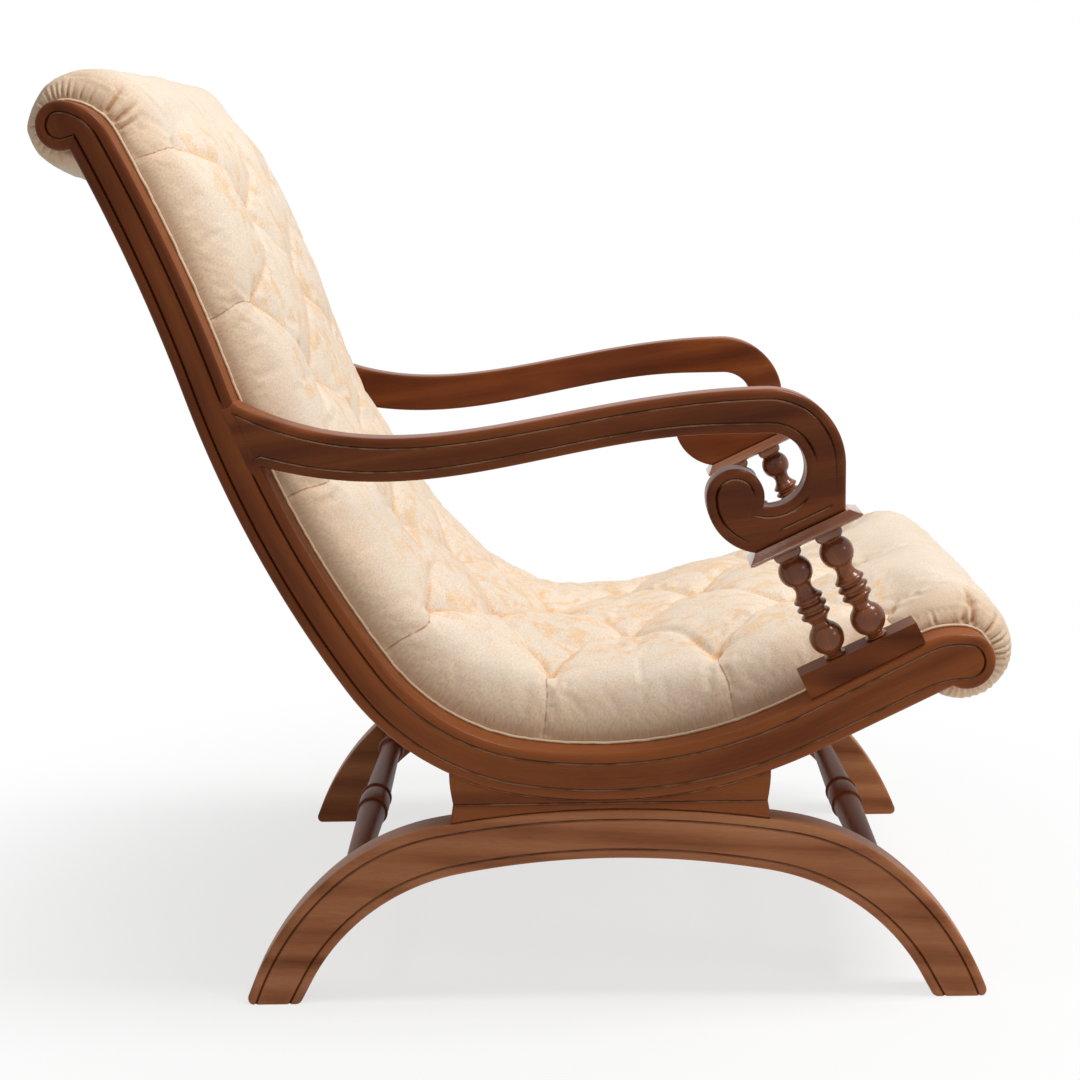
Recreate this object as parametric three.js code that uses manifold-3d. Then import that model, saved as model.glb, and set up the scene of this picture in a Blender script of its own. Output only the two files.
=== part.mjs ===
// Planters chair: two scrolled side rails carry a tufted sling of upholstery, with
// scroll arms on turned spindles, on two arched leg frames tied by turned stretchers.
// Millimetres, +Z up, the sitter faces -Y and the chair is symmetric about X = 0.
import * as THREE from 'three';
import { mergeVertices } from 'three/addons/utils/BufferGeometryUtils.js';
import Module from 'manifold-3d';

const wasm = await Module();
wasm.setup();

// Fits and cuts
const clearance = 0.3;
const overrun = 4;
const chordSag = 0.35;
const turnedSides = 14;
const boredSides = 14;
const easeSteps = 1;

// Widths across the chair, measured from the middle plane
const railOuterFace = 310;
const railThickness = 38;
const railInnerFace = railOuterFace - railThickness;
const railEase = 3.4;

// Side rail: one centre line from its lowest point, back to the head and forward to the knee
const railBottomY = -67;
const seatHollowRadius = 520;
const seatHollowSweep = 9;
const hipBendRadius = 243;
const hipBendSweep = 46;
const backCurveRadius = 1150;
const backCurveSweep = 17;
const backReturnRadius = 1790;
const backReturnSweep = 8.4;
const frontRiseRadius = 480;
const frontRiseSweep = 26.3;
const frontRunLength = 144;
const railDepthAtSeat = 50.5;
const railDepthAtHead = 42;
const railDepthAtKnee = 55;

// Scrolls: each circle's centre lies ahead of the rail's end and below its centre line
const headScroll = { radius: 24.5, ahead: 27.8, below: 18 };
const kneeScroll = { radius: 29, ahead: 30, below: 10.9 };

// Carved line that follows every outline on the show faces
const grooveInset = 11;
const grooveHalfWidth = 1.9;
const grooveDepth = 2.4;

// Leg arch, one band with its own curve on each edge
const archThickness = 38;
const archCentreY = -77;
const archTopHeight = 210.7;
const archBandDepth = 53.4;
const archCrownRadius = 1062;
const archCrownSweep = 10.1;
const archShoulderRadius = 237;
const archShoulderSweep = 30.6;
const archLegRadius = 321;
const archLegSweep = 27.3;
const archUnderRadius = 866;
const archUnderSweep = 10.8;
const archInsideRadius = 231;
const archInsideSweep = 51.2;
const footEaseShare = 1.5;
const grooveRunoutShare = 3;

// Saddle blocks between arch and rail, in two halves that meet on a level joint
const saddleCentreY = -73.5;
const saddleLength = 334;
const saddleThickness = 34;
const lowerSaddleWeb = 7.6;
const upperSaddleWeb = 2.4;
const saddleEndRise = 30;
const saddleEndBulge = 3.2;
const saddleEndSteps = 5;
const saddleBlankRise = 42;
const legDowelRadius = 5;
const legDowelReach = 18;
const legDowelSpreadShare = 0.34;

// Turned stretchers between the two arches
const stretcherSpread = 283;
const stretcherHeight = 116;
const stretcherTenonRadius = 9;
const stretcherTenonLength = 18;
const stretcherRadius = 18;

// Arm support: base block, two spindles and a moulded cap, leaning back with the rail
const supportStation = 300;
const supportTilt = 25;
const baseBlockLength = 130;
const baseBlockHeight = 25.5;
const spindleSpacing = 46;
const spindleHeight = 113;
const spindleTenonRadius = 7;
const spindleTenonReach = 14;
const capPadHeight = 10.4;
const capPadLength = 27;
const capPadWidthShare = 0.8;
const capHeight = 12.4;
const capLength = 104;
const capFlare = 10;

// Turned and moulded profiles, from one end to the other. A turning's pairs are shares
// of its radius and of its height or half length, a moulding's of its outset and height.
const spindleRadius = 18;
const spindleFootShares = [
  [0.61, 0],
  [0.61, 0.016],
  [0.46, 0.032],
];
const spindleRingShares = [
  [0.49, 0.34],
  [0.655, 0.38],
  [0.68, 0.403],
  [0.867, 0.423],
  [0.867, 0.439],
  [0.69, 0.463],
  [0.889, 0.502],
  [0.889, 0.52],
  [0.69, 0.546],
  [0.856, 0.579],
  [0.856, 0.593],
  [0.7, 0.616],
  [0.522, 0.686],
];
const lowerBallShares = { radius: 1, centre: 0.186, from: -0.856, to: 0.833 };
const upperBallShares = { radius: 0.978, centre: 0.867, from: -0.795, to: 0.767 };
const spindleHeadShare = 0.556;
const ballSteps = 5;
const stretcherShares = [
  [0.978, 0.03],
  [0.929, 0.062],
  [0.86, 0.072],
  [1, 0.086],
  [1, 0.098],
  [0.88, 0.112],
  [0.856, 0.122],
  [0.7, 0.8],
  [0.784, 0.815],
  [0.94, 0.84],
  [0.94, 0.865],
  [0.77, 0.885],
  [0.868, 1],
];
const capShares = [
  [0.2, 0],
  [0.45, 0.05],
  [0.9, 0.18],
  [1, 0.243],
  [1, 0.39],
  [0, 1],
];
const capPadShares = [
  [-0.3, 0],
  [-0.12, 0.25],
  [0, 0.62],
];

// Arm: a thinner board than the rail, so that the upholstery's edge strip passes behind it
const stripWidth = 4.5;
const stripHeight = 2.4;
const armInnerFace = railInnerFace + stripWidth + 2 * clearance;
const armMiddle = (armInnerFace + railOuterFace) / 2;
const armRootTop = 595;
const armRootBottom = 523;
const armHousing = 10.5;
const armTenonWidth = 34;
const armTenonThickness = 12;
const armTenonLength = 16;
const armTopFall = 28.5;
const armTopRootHandle = 190;
const armTopBendHandle = 210;
const armUnderFall = 16.5;
const armUnderRootHandle = 180;
const armUnderBendHandle = 165;
const armUnderFlat = 45;
const bendAhead = 2.6;
const bendOuterRise = 74.3;
const bendOuterRadius = 78;
const bendInnerAhead = 3.4;
const bendInnerRise = 70.3;
const bendInnerRadius = 37.5;
const voluteBack = 45.8;
const voluteRise = 59.7;
const voluteRadius = 29.5;
const voluteTailRadius = 57.7;
const curveSteps = 14;

// Cross rails and bars between the two sides, under the upholstery
const crossRailWidth = 58;
const crossRailThickness = 15;
const crossTenonInset = 9;
const crossTenonThickness = 8;
const crossTenonLength = 14;
const crossRailSeatFront = -240;
const crossRailSeatMiddle = -10;
const crossRailLumbar = 300;
const crossRailUpperBack = 640;
const barInset = 8;
const barTenonRadius = 8;
const deckDepth = 14;
const deckThickness = 3;
const deckEndGap = 16;
const backClothInset = 3;
const backClothThickness = 2;
const backClothTop = 830;
const backClothFront = -330;

// Tufted upholstery
const cushionSideGap = 0.6;
const crownKeys = [
  [-364, 42],
  [-300, 51],
  [-230, 74],
  [-150, 90],
  [-60, 88],
  [60, 87],
  [240, 92],
  [380, 82],
  [560, 72],
  [800, 68],
  [850, 60],
  [880, 47],
];
const headWrapThickness = 29;
const headWrapEaseEnd = 150;
const headWrapEnd = 243;
const kneeWrapThickness = 36;
const kneeWrapEaseEnd = 200;
const kneeWrapEnd = 232;
const wrapSteps = 9;
const headTail = 42;
const headTailThickness = 5;
const cushionFloor = 13.4;
const rollFloor = 5;
const sideRound = 3.2;
const rollSideRound = 12;
const rollSideFrom = 40;
const tuftRows = [852, 680, 484, 288, 60, -156, -354];
const tuftSpacing = 102;
const outerTuft = 2;
const tuftDepth = 16;
const valleyShare = 0.45;
const shoulderShare = 0.18;
const pleatDepth = 6;
const crossShares = [1, 0.93, 0.84, 0.75, 0.5625, 0.375, 0.1875, 0];
const underCrossShares = [1, 0.5, 0, -0.5, -1];

// Edge strip: how far it is carried round both scrolls
const stripEnd = 150;

const TURN = 2 * Math.PI;
const radians = THREE.MathUtils.degToRad;

// Points and directions in the side view are Vector2(y, z)
const at = (y, z) => new THREE.Vector2(y, z);
const toward = (angle) => at(Math.cos(angle), Math.sin(angle));
const along = (point, direction, distance) => point.clone().addScaledVector(direction, distance);

function arcPoints(centre, radius, from, to) {
  const step = 2 * Math.acos(1 - Math.min(chordSag / radius, 1 / 2));
  const count = Math.max(2, Math.ceil(Math.abs(to - from) / step));
  const points = [];
  for (let i = 0; i <= count; i += 1) {
    points.push(along(centre, toward(from + ((to - from) * i) / count), radius));
  }
  return points;
}

// A track is a chain of tangent arcs and straights, walked by distance
function makeTrack(start, heading, pieces) {
  const legs = [];
  let point = start;
  let angle = heading;
  let total = 0;
  for (const piece of pieces) {
    const sweep = radians(piece.sweep ?? 0);
    const length = piece.length ?? Math.abs(piece.radius * sweep);
    const curvature = piece.radius ? Math.sign(piece.radius) / Math.abs(piece.radius) : 0;
    legs.push({ point, angle, start: total, length, curvature });
    const end = walkLeg({ point, angle, curvature }, length);
    point = end.point;
    angle = end.angle;
    total += length;
  }
  return { legs, length: total };
}

function walkLeg({ point, angle, curvature }, distance) {
  if (curvature === 0) return { point: along(point, toward(angle), distance), angle };
  const radius = 1 / curvature;
  const centre = along(point, toward(angle + TURN / 4), radius);
  const turned = angle + distance * curvature;
  return { point: along(centre, toward(turned - TURN / 4), radius), angle: turned };
}

function walk(track, distance) {
  const leg = track.legs.findLast((item) => distance >= item.start) ?? track.legs[0];
  return walkLeg(leg, distance - leg.start);
}

// Distances along a track where a chord leaves its arc by no more than the sag
function stationsOf(track) {
  const stations = [];
  for (const leg of track.legs) {
    const radius = leg.curvature ? Math.abs(1 / leg.curvature) : Infinity;
    const step = radius === Infinity ? leg.length : 2 * radius * Math.acos(1 - chordSag / radius);
    const count = Math.ceil(leg.length / step);
    for (let i = 0; i < count; i += 1) stations.push(leg.start + (leg.length * i) / count);
  }
  return [...stations, track.length];
}

// Solids: meshes in and out of the boolean library
function solid(geometry) {
  const bare = geometry.clone();
  bare.deleteAttribute('normal');
  bare.deleteAttribute('uv');
  const merged = mergeVertices(bare, 1e-4);
  return new wasm.Manifold(
    new wasm.Mesh({
      numProp: 3,
      vertProperties: new Float32Array(merged.attributes.position.array),
      triVerts: new Uint32Array(merged.index.array),
    }),
  );
}

function geometryOf(body) {
  const mesh = body.getMesh();
  const geometry = new THREE.BufferGeometry();
  geometry.setAttribute('position', new THREE.BufferAttribute(mesh.vertProperties, 3));
  geometry.setIndex(new THREE.BufferAttribute(mesh.triVerts, 1));
  const loose = geometry.toNonIndexed();
  loose.computeVertexNormals();
  return loose;
}

const cut = (base, cutters) => cutters.reduce((body, cutter) => body.subtract(solid(cutter)), base);
const join = (base, others) => others.reduce((body, other) => body.add(solid(other)), base);

// Side view (y, z) drawn in a shape's own plane, thickness along X
const sideways = new THREE.Matrix4().makeBasis(
  new THREE.Vector3(0, 1, 0),
  new THREE.Vector3(0, 0, 1),
  new THREE.Vector3(1, 0, 0),
);

function board(outline, inner, outer, ease = 0) {
  const geometry = new THREE.ExtrudeGeometry(new THREE.Shape(outline), {
    depth: outer - inner - 2 * ease,
    bevelEnabled: ease > 0,
    bevelThickness: ease,
    bevelSize: ease,
    bevelOffset: -ease,
    bevelSegments: easeSteps,
    steps: 1,
  });
  geometry.translate(0, 0, inner + ease);
  return geometry.applyMatrix4(sideways);
}

// A bar along X between two distances from the middle plane
function barAlongX(centre, radius, from, to, sides = boredSides) {
  const geometry = new THREE.CylinderGeometry(radius, radius, to - from, sides);
  geometry.rotateZ(-TURN / 4);
  geometry.translate((from + to) / 2, centre.x, centre.y);
  return geometry;
}

// A bar in the side plane, from a point along a direction
function pegInSide(x, from, direction, length, radius, sides = boredSides) {
  const geometry = new THREE.CylinderGeometry(radius, radius, length, sides);
  geometry.rotateX(Math.atan2(direction.y, direction.x));
  const middle = along(from, direction, length / 2);
  geometry.translate(x, middle.x, middle.y);
  return geometry;
}

// A box turned in the side plane: length along the direction, width square to it
function blockInSide(inner, outer, centre, direction, length, width) {
  const geometry = new THREE.BoxGeometry(outer - inner, length, width);
  geometry.rotateX(Math.atan2(direction.y, direction.x));
  geometry.translate((inner + outer) / 2, centre.x, centre.y);
  return geometry;
}

// Each point of a closed outline moved square to the outline, into the wood
function inset(outline, distance) {
  const inward = THREE.ShapeUtils.isClockWise(outline) ? -1 : 1;
  const count = outline.length;
  return outline.map((point, i) => {
    const before = point.clone().sub(outline[(i + count - 1) % count]).normalize();
    const after = outline[(i + 1) % count].clone().sub(point).normalize();
    const bisector = at(-before.y - after.y, before.x + after.x).normalize();
    const spread = Math.max(bisector.dot(at(-after.y, after.x)), 2 / 3);
    return along(point, bisector, (inward * distance) / spread);
  });
}

// A V-shaped ring that follows an outline on the outer face
function grooveRing(outline, face) {
  const loops = [
    { points: inset(outline, grooveInset - grooveHalfWidth), x: face + clearance },
    { points: inset(outline, grooveInset), x: face - grooveDepth },
    { points: inset(outline, grooveInset + grooveHalfWidth), x: face + clearance },
  ];
  return closedGrid(loops.map((loop) => loop.points.map((p) => new THREE.Vector3(loop.x, p.x, p.y))));
}

// Skin over rows of points; rows close on themselves, and so does each row
function closedGrid(rows) {
  const columns = rows[0].length;
  const index = [];
  rows.forEach((row, r) => {
    const next = (r + 1) % rows.length;
    for (let c = 0; c < columns; c += 1) {
      const d = (c + 1) % columns;
      const [a, b] = [r * columns + c, r * columns + d];
      const [e, f] = [next * columns + c, next * columns + d];
      index.push(a, b, f, a, f, e);
    }
  });
  return outwardFacing(new THREE.BufferGeometry().setFromPoints(rows.flat()).setIndex(index));
}

function outwardFacing(geometry) {
  const position = geometry.attributes.position;
  const [a, b, c] = [new THREE.Vector3(), new THREE.Vector3(), new THREE.Vector3()];
  const index = geometry.index.array;
  let volume = 0;
  for (let i = 0; i < index.length; i += 3) {
    a.fromBufferAttribute(position, index[i]);
    b.fromBufferAttribute(position, index[i + 1]);
    c.fromBufferAttribute(position, index[i + 2]);
    volume += a.dot(b.cross(c));
  }
  if (volume < 0) {
    for (let i = 0; i < index.length; i += 3) [index[i], index[i + 1]] = [index[i + 1], index[i]];
  }
  return geometry;
}

// Loft through closed rings with a fan at each end. The quads' diagonals alternate,
// so that they join the corners whose row and column add up to the phase.
function loft(rings, phase = 0) {
  const columns = rings[0].length;
  const index = [];
  for (let r = 0; r + 1 < rings.length; r += 1) {
    for (let c = 0; c < columns; c += 1) {
      const d = (c + 1) % columns;
      const [a, b] = [r * columns + c, r * columns + d];
      const [e, f] = [a + columns, b + columns];
      index.push(...((r + c + phase) % 2 === 0 ? [a, b, f, a, f, e] : [a, b, e, b, f, e]));
    }
  }
  const points = rings.flat();
  for (const [first, flip] of [[0, true], [(rings.length - 1) * columns, false]]) {
    const centre = new THREE.Vector3();
    for (let c = 0; c < columns; c += 1) centre.addScaledVector(points[first + c], 1 / columns);
    points.push(centre);
    for (let c = 0; c < columns; c += 1) {
      const [a, b] = [first + c, first + ((c + 1) % columns)];
      index.push(...(flip ? [b, a, points.length - 1] : [a, b, points.length - 1]));
    }
  }
  return outwardFacing(new THREE.BufferGeometry().setFromPoints(points).setIndex(index));
}

// Side rail

const saddleJoint = archTopHeight + lowerSaddleWeb;
const railBottom = at(railBottomY, saddleJoint + upperSaddleWeb + clearance + railDepthAtSeat / 2);

const backTrack = makeTrack(railBottom, 0, [
  { radius: seatHollowRadius, sweep: seatHollowSweep },
  { radius: hipBendRadius, sweep: hipBendSweep },
  { radius: backCurveRadius, sweep: backCurveSweep },
  { radius: -backReturnRadius, sweep: backReturnSweep },
]);
const frontTrack = makeTrack(railBottom, TURN / 2, [
  { radius: -frontRiseRadius, sweep: frontRiseSweep },
  { length: frontRunLength },
]);

// The rail at a station: distance from its lowest point, positive to the back.
// "up" is the side that the sitter faces, "forward" runs toward the head.
function railAt(station) {
  const toHead = station >= 0;
  const track = toHead ? backTrack : frontTrack;
  const { point, angle } = walk(track, Math.abs(station));
  const share = Math.abs(station) / track.length;
  const endDepth = toHead ? railDepthAtHead : railDepthAtKnee;
  const heading = toHead ? angle : angle + TURN / 2;
  return {
    point,
    forward: toward(heading),
    up: toward(heading + TURN / 4),
    depth: railDepthAtSeat + (endDepth - railDepthAtSeat) * share,
  };
}

// Place at a height above the rail's upper edge
function overRail(station, height) {
  const rail = railAt(station);
  return along(rail.point, rail.up, rail.depth / 2 + height);
}

const underRail = (station, height) => {
  const rail = railAt(station);
  return along(rail.point, rail.up, height - rail.depth / 2);
};

// Scroll at a rail's end, in the end's own frame: an easing arc off the upper edge,
// then the scroll's circle round to the corner where it meets the lower edge
function scrollAt(station, scroll) {
  const rail = railAt(station);
  const ahead = station > 0 ? rail.forward : rail.forward.clone().negate();
  const half = rail.depth / 2;
  const place = (f, u) => along(along(rail.point, ahead, f), rail.up, u);
  const drop = scroll.below + half;
  const reach = scroll.ahead ** 2 + drop ** 2 - scroll.radius ** 2;
  const easing = reach / (2 * (drop - scroll.radius));
  const joined = Math.atan2(scroll.ahead, easing - drop);
  const cornerRise = scroll.below - half;
  const cornerAhead = -Math.sqrt(scroll.radius ** 2 - cornerRise ** 2);
  const corner = Math.atan2(cornerAhead, cornerRise) + TURN;
  return {
    centre: place(scroll.ahead, -scroll.below),
    radius: scroll.radius,
    easing,
    joined,
    corner,
    // place on the scroll's outline, offset outward, by the angle from the upper side
    point(angle, offset = 0) {
      const onEasing = angle < joined;
      const radius = (onEasing ? easing : scroll.radius) + offset;
      const [f, u] = onEasing ? [0, half - easing] : [scroll.ahead, -scroll.below];
      return place(f + radius * Math.sin(angle), u + radius * Math.cos(angle));
    },
  };
}

const headCurl = scrollAt(backTrack.length, headScroll);
const kneeCurl = scrollAt(-frontTrack.length, kneeScroll);

function anglesBetween(from, to, radius) {
  const step = 2 * Math.acos(1 - chordSag / radius);
  const count = Math.max(2, Math.ceil((to - from) / step));
  return Array.from({ length: count }, (_, i) => from + ((to - from) * (i + 1)) / count);
}

function curlOutline(curl) {
  const easing = anglesBetween(0, curl.joined, curl.easing);
  const round = anglesBetween(curl.joined, curl.corner, curl.radius);
  return [...easing.slice(0, -1), curl.joined, ...round].map((angle) => curl.point(angle));
}

const railStations = [
  ...stationsOf(frontTrack).slice(1).reverse().map((distance) => -distance),
  ...stationsOf(backTrack),
];

const railOutline = [
  ...railStations.map((station) => overRail(station, 0)),
  ...curlOutline(headCurl),
  ...railStations.slice(1, -1).reverse().map((station) => underRail(station, 0)),
  ...curlOutline(kneeCurl).reverse(),
];

// Arm support frame: "ahead" runs forward and up along the cap, "above" is square to it
const supportAhead = toward(TURN / 2 - radians(supportTilt));
const supportAbove = toward(TURN / 4 - radians(supportTilt));
const supportFoot = overRail(-supportStation, 0);
const inSupport = (ahead, above) => along(along(supportFoot, supportAhead, ahead), supportAbove, above);
const spindleBase = baseBlockHeight + clearance;
const spindleTop = spindleBase + spindleHeight;
const capBase = spindleTop + clearance;
const capTop = capBase + capPadHeight + capHeight;
const armBase = capTop + clearance;
const spindlePlaces = { front: spindleSpacing / 2, rear: -spindleSpacing / 2 };

function baseBlock() {
  const corners = [
    inSupport(-baseBlockLength / 2, baseBlockHeight),
    inSupport(baseBlockLength / 2, baseBlockHeight),
    inSupport(baseBlockLength / 2, -overrun),
    inSupport(-baseBlockLength / 2, -overrun),
  ];
  const blank = solid(board(corners, armInnerFace, railOuterFace));
  const rail = board(inset(railOutline, -clearance), armInnerFace - overrun, railOuterFace + overrun);
  return cut(blank, [rail, ...spindleBores(-overrun, spindleBase + overrun)]);
}

function spindleBores(from, to) {
  const radius = spindleTenonRadius + clearance;
  return Object.values(spindlePlaces).map((ahead) =>
    pegInSide(armMiddle, inSupport(ahead, from), supportAbove, to - from, radius),
  );
}

// Turned pieces: a half profile of [radius, height] pairs revolved about their axis
function turned(profile, sides = turnedSides) {
  return new THREE.LatheGeometry(profile.map(([radius, height]) => at(radius, height)), sides);
}

// Profile points over a ball, between two heights measured from its centre
function ballProfile(radius, centre, from, to, count) {
  const start = Math.asin(from / radius);
  const end = Math.asin(to / radius);
  return Array.from({ length: count + 1 }, (_, i) => {
    const angle = start + ((end - start) * i) / count;
    return [radius * Math.cos(angle), centre + radius * Math.sin(angle)];
  });
}

const scaled = (shares, across, along) => shares.map(([a, b]) => [a * across, b * along]);

function spindleBall({ radius, centre, from, to }) {
  const ball = radius * spindleRadius;
  return ballProfile(ball, centre * spindleHeight, from * ball, to * ball, ballSteps);
}

function spindle() {
  const foot = -baseBlockHeight - spindleTenonReach;
  const head = capTop - spindleBase + spindleTenonReach;
  return turned([
    [0, foot],
    [spindleTenonRadius, foot],
    [spindleTenonRadius, 0],
    ...scaled(spindleFootShares, spindleRadius, spindleHeight),
    ...spindleBall(lowerBallShares),
    ...scaled(spindleRingShares, spindleRadius, spindleHeight),
    ...spindleBall(upperBallShares),
    [spindleRadius * spindleHeadShare, spindleHeight],
    [spindleTenonRadius, spindleHeight],
    [spindleTenonRadius, head],
    [0, head],
  ]);
}

// Rectangular moulding mitred round its corners; profile holds [outset, height] pairs
function mitredBlock(length, width, profile) {
  const rings = profile.map(([outset, height]) => {
    const [a, b] = [length / 2 + outset, width / 2 + outset];
    return [[-b, -a], [b, -a], [b, a], [-b, a]].map(([x, y]) => new THREE.Vector3(x, y, height));
  });
  return loft(rings);
}

function armCap() {
  const armThickness = railOuterFace - armInnerFace;
  const plateShares = scaled(capShares, capFlare, capHeight);
  const plate = mitredBlock(capLength, armThickness, plateShares).translate(0, 0, capPadHeight);
  const padProfile = [...scaled(capPadShares, capPadHeight, capPadHeight), [0, capPadHeight + capHeight / 2]];
  const pads = Object.values(spindlePlaces).map((ahead) =>
    mitredBlock(capPadLength, armThickness * capPadWidthShare, padProfile).translate(0, ahead, 0),
  );
  const placed = geometryOf(join(solid(plate), pads));
  placed.rotateX(-radians(supportTilt));
  const origin = inSupport(0, capBase);
  return placed.translate(armMiddle, origin.x, origin.y);
}

// Arm

function bezier(from, fromHandle, toHandle, to) {
  return new THREE.CubicBezierCurve(from, fromHandle, toHandle, to).getPoints(curveSteps);
}

function armOutline(housing) {
  const outerCentre = inSupport(-bendAhead, armBase + bendOuterRise);
  const innerCentre = inSupport(-bendInnerAhead, armBase + bendInnerRise);
  const voluteCentre = inSupport(-voluteBack, armBase + voluteRise);
  const rootTop = overRail(armRootTop, 0);
  const rootBottom = overRail(armRootBottom, 0);
  const housed = (station) => overRail(station, -housing);

  const topEnd = along(outerCentre, at(0, 1), bendOuterRadius);
  const top = bezier(
    rootTop,
    along(rootTop, toward(TURN / 2 + radians(armTopFall)), armTopRootHandle),
    along(topEnd, at(1, 0), armTopBendHandle),
    topEnd,
  );
  const outerBend = arcPoints(outerCentre, bendOuterRadius, TURN / 4, TURN / 2);

  // front edge drops straight onto the cap, the foot runs back along it to the volute
  const capLine = (point) => point.clone().sub(inSupport(0, armBase)).dot(supportAbove);
  const frontTop = outerBend.at(-1);
  const frontFoot = along(frontTop, at(0, -1), capLine(frontTop) / supportAbove.y);
  const tailCentre = along(voluteCentre, at(1, 0), voluteRadius - voluteTailRadius);
  const tailRise = capLine(tailCentre);
  const tailRun = Math.sqrt(voluteTailRadius ** 2 - tailRise ** 2);
  const tailFoot = along(along(tailCentre, supportAbove, -tailRise), supportAhead, -tailRun);
  const tailAngle = Math.atan2(tailFoot.y - tailCentre.y, tailFoot.x - tailCentre.x);
  const tail = arcPoints(tailCentre, voluteTailRadius, tailAngle, 0);

  // the throat is where the volute's circle meets the inner bend
  const apart = voluteCentre.clone().sub(innerCentre);
  const share = (apart.lengthSq() + bendInnerRadius ** 2 - voluteRadius ** 2) / (2 * apart.length());
  const lean = Math.acos(share / bendInnerRadius);
  const throatAngle = apart.angle() - lean;
  const throat = along(innerCentre, toward(throatAngle), bendInnerRadius);
  const voluteEnd = throat.clone().sub(voluteCentre).angle();
  const volute = arcPoints(voluteCentre, voluteRadius, 0, voluteEnd);
  const inner = arcPoints(innerCentre, bendInnerRadius, throatAngle, TURN / 4);
  const underStart = along(innerCentre, at(0, 1), bendInnerRadius);
  const underEnd = along(underStart, at(1, 0), armUnderFlat);
  const under = bezier(
    underEnd,
    along(underEnd, at(1, 0), armUnderBendHandle),
    along(rootBottom, toward(TURN / 2 + radians(armUnderFall)), armUnderRootHandle),
    rootBottom,
  );
  return [
    housed(armRootTop),
    ...top,
    ...outerBend.slice(1),
    frontFoot,
    ...tail,
    ...volute.slice(1),
    ...inner.slice(1),
    ...under,
    housed(armRootBottom),
  ];
}

// The housing cut in the rail for the arm's root, and the tenon beyond it
function armRoot() {
  const middle = railAt((armRootTop + armRootBottom) / 2);
  const half = (armRootTop - armRootBottom) / 2;
  const floor = middle.depth / 2 - armHousing;
  const seat = (depth) => along(middle.point, middle.up, floor - depth / 2);
  const tenonHalf = armTenonThickness / 2;
  const notch = [
    overRail(armRootTop + clearance, -armHousing - clearance),
    overRail(armRootTop + clearance, overrun),
    overRail(armRootBottom - clearance, overrun),
    overRail(armRootBottom - clearance, -armHousing - clearance),
  ];
  const tenon = (fit, length) =>
    blockInSide(
      armMiddle - tenonHalf - fit,
      armMiddle + tenonHalf + fit,
      seat(length - overrun),
      middle.up,
      length + overrun,
      Math.min(armTenonWidth, half * 2) + 2 * fit,
    );
  return {
    housing: board(notch, armInnerFace - clearance, railOuterFace + overrun),
    mortise: tenon(clearance, armTenonLength + clearance),
    tenon: tenon(0, armTenonLength),
  };
}

const root = armRoot();

function arm() {
  const outline = armOutline(armHousing);
  const beyond = armOutline(armHousing + 2 * grooveInset);
  const blank = join(solid(board(outline, armInnerFace, railOuterFace, railEase)), [root.tenon]);
  const cutters = [grooveRing(beyond, railOuterFace), ...spindleBores(capTop, armBase + spindleTenonReach)];
  return cut(blank, cutters);
}

// Cross pieces: square-shouldered rails with stub tenons, and round bars in the scrolls
const stubReach = railInnerFace + crossTenonLength;

function crossRailParts(station) {
  const rail = railAt(station);
  const top = rail.depth / 2 - deckDepth - deckThickness - clearance;
  const centre = along(rail.point, rail.up, top - crossRailThickness / 2);
  const tenonWidth = crossRailWidth - 2 * crossTenonInset;
  const shoulder = railInnerFace - clearance;
  const height = crossRailThickness + 2 * overrun;
  const blank = blockInSide(-shoulder, shoulder, centre, rail.forward, crossRailWidth, height);
  const [from, to] = [station - crossRailWidth, station + crossRailWidth];
  const line = -deckDepth - deckThickness - clearance;
  const over = followingStrip(from, to, line, line + crossRailThickness, -railOuterFace, railOuterFace);
  const foot = line - crossRailThickness;
  const under = followingStrip(from, to, foot - crossRailThickness, foot, -railOuterFace, railOuterFace);
  const tenon = (fit) =>
    blockInSide(
      -stubReach - fit,
      stubReach + fit,
      centre,
      rail.forward,
      tenonWidth + 2 * fit,
      crossTenonThickness + 2 * fit,
    );
  return { body: cut(solid(blank), [over, under]), tenon: tenon(0), mortise: tenon(clearance) };
}

const crossRails = {
  seat_front: crossRailParts(crossRailSeatFront),
  seat_middle: crossRailParts(crossRailSeatMiddle),
  lumbar: crossRailParts(crossRailLumbar),
  upper_back: crossRailParts(crossRailUpperBack),
};

function scrollBar(curl) {
  const shoulder = railInnerFace - clearance;
  const radius = curl.radius - barInset;
  const body = solid(barAlongX(curl.centre, radius, -shoulder, shoulder, turnedSides));
  return join(body, [barAlongX(curl.centre, barTenonRadius, -stubReach, stubReach)]);
}

const barMortise = (curl) =>
  barAlongX(curl.centre, barTenonRadius + clearance, -stubReach - clearance, stubReach + clearance);

// Legs

function archEdge(height, curve) {
  const half = (mirror) => {
    const start = at(archCentreY, height);
    const heading = mirror > 0 ? 0 : TURN / 2;
    const pieces = curve.map(({ radius, sweep }) => ({ radius: -mirror * radius, sweep }));
    const track = makeTrack(start, heading, pieces);
    const points = stationsOf(track).map((distance) => walk(track, distance).point);
    const onFloor = points.findIndex((point) => point.y <= 0);
    const kept = onFloor < 0 ? points : points.slice(0, onFloor);
    const { angle } = walk(track, track.length);
    const last = kept.at(-1);
    const down = onFloor < 0 ? toward(angle) : points[onFloor].clone().sub(last).normalize();
    return { points: kept, floor: along(last, down, last.y / -down.y), down };
  };
  return { rear: half(1), front: half(-1) };
}

const archOuter = archEdge(archTopHeight, [
  { radius: archCrownRadius, sweep: archCrownSweep },
  { radius: archShoulderRadius, sweep: archShoulderSweep },
  { radius: archLegRadius, sweep: archLegSweep },
]);
const archInner = archEdge(archTopHeight - archBandDepth, [
  { radius: archUnderRadius, sweep: archUnderSweep },
  { radius: archInsideRadius, sweep: archInsideSweep },
]);

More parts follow.
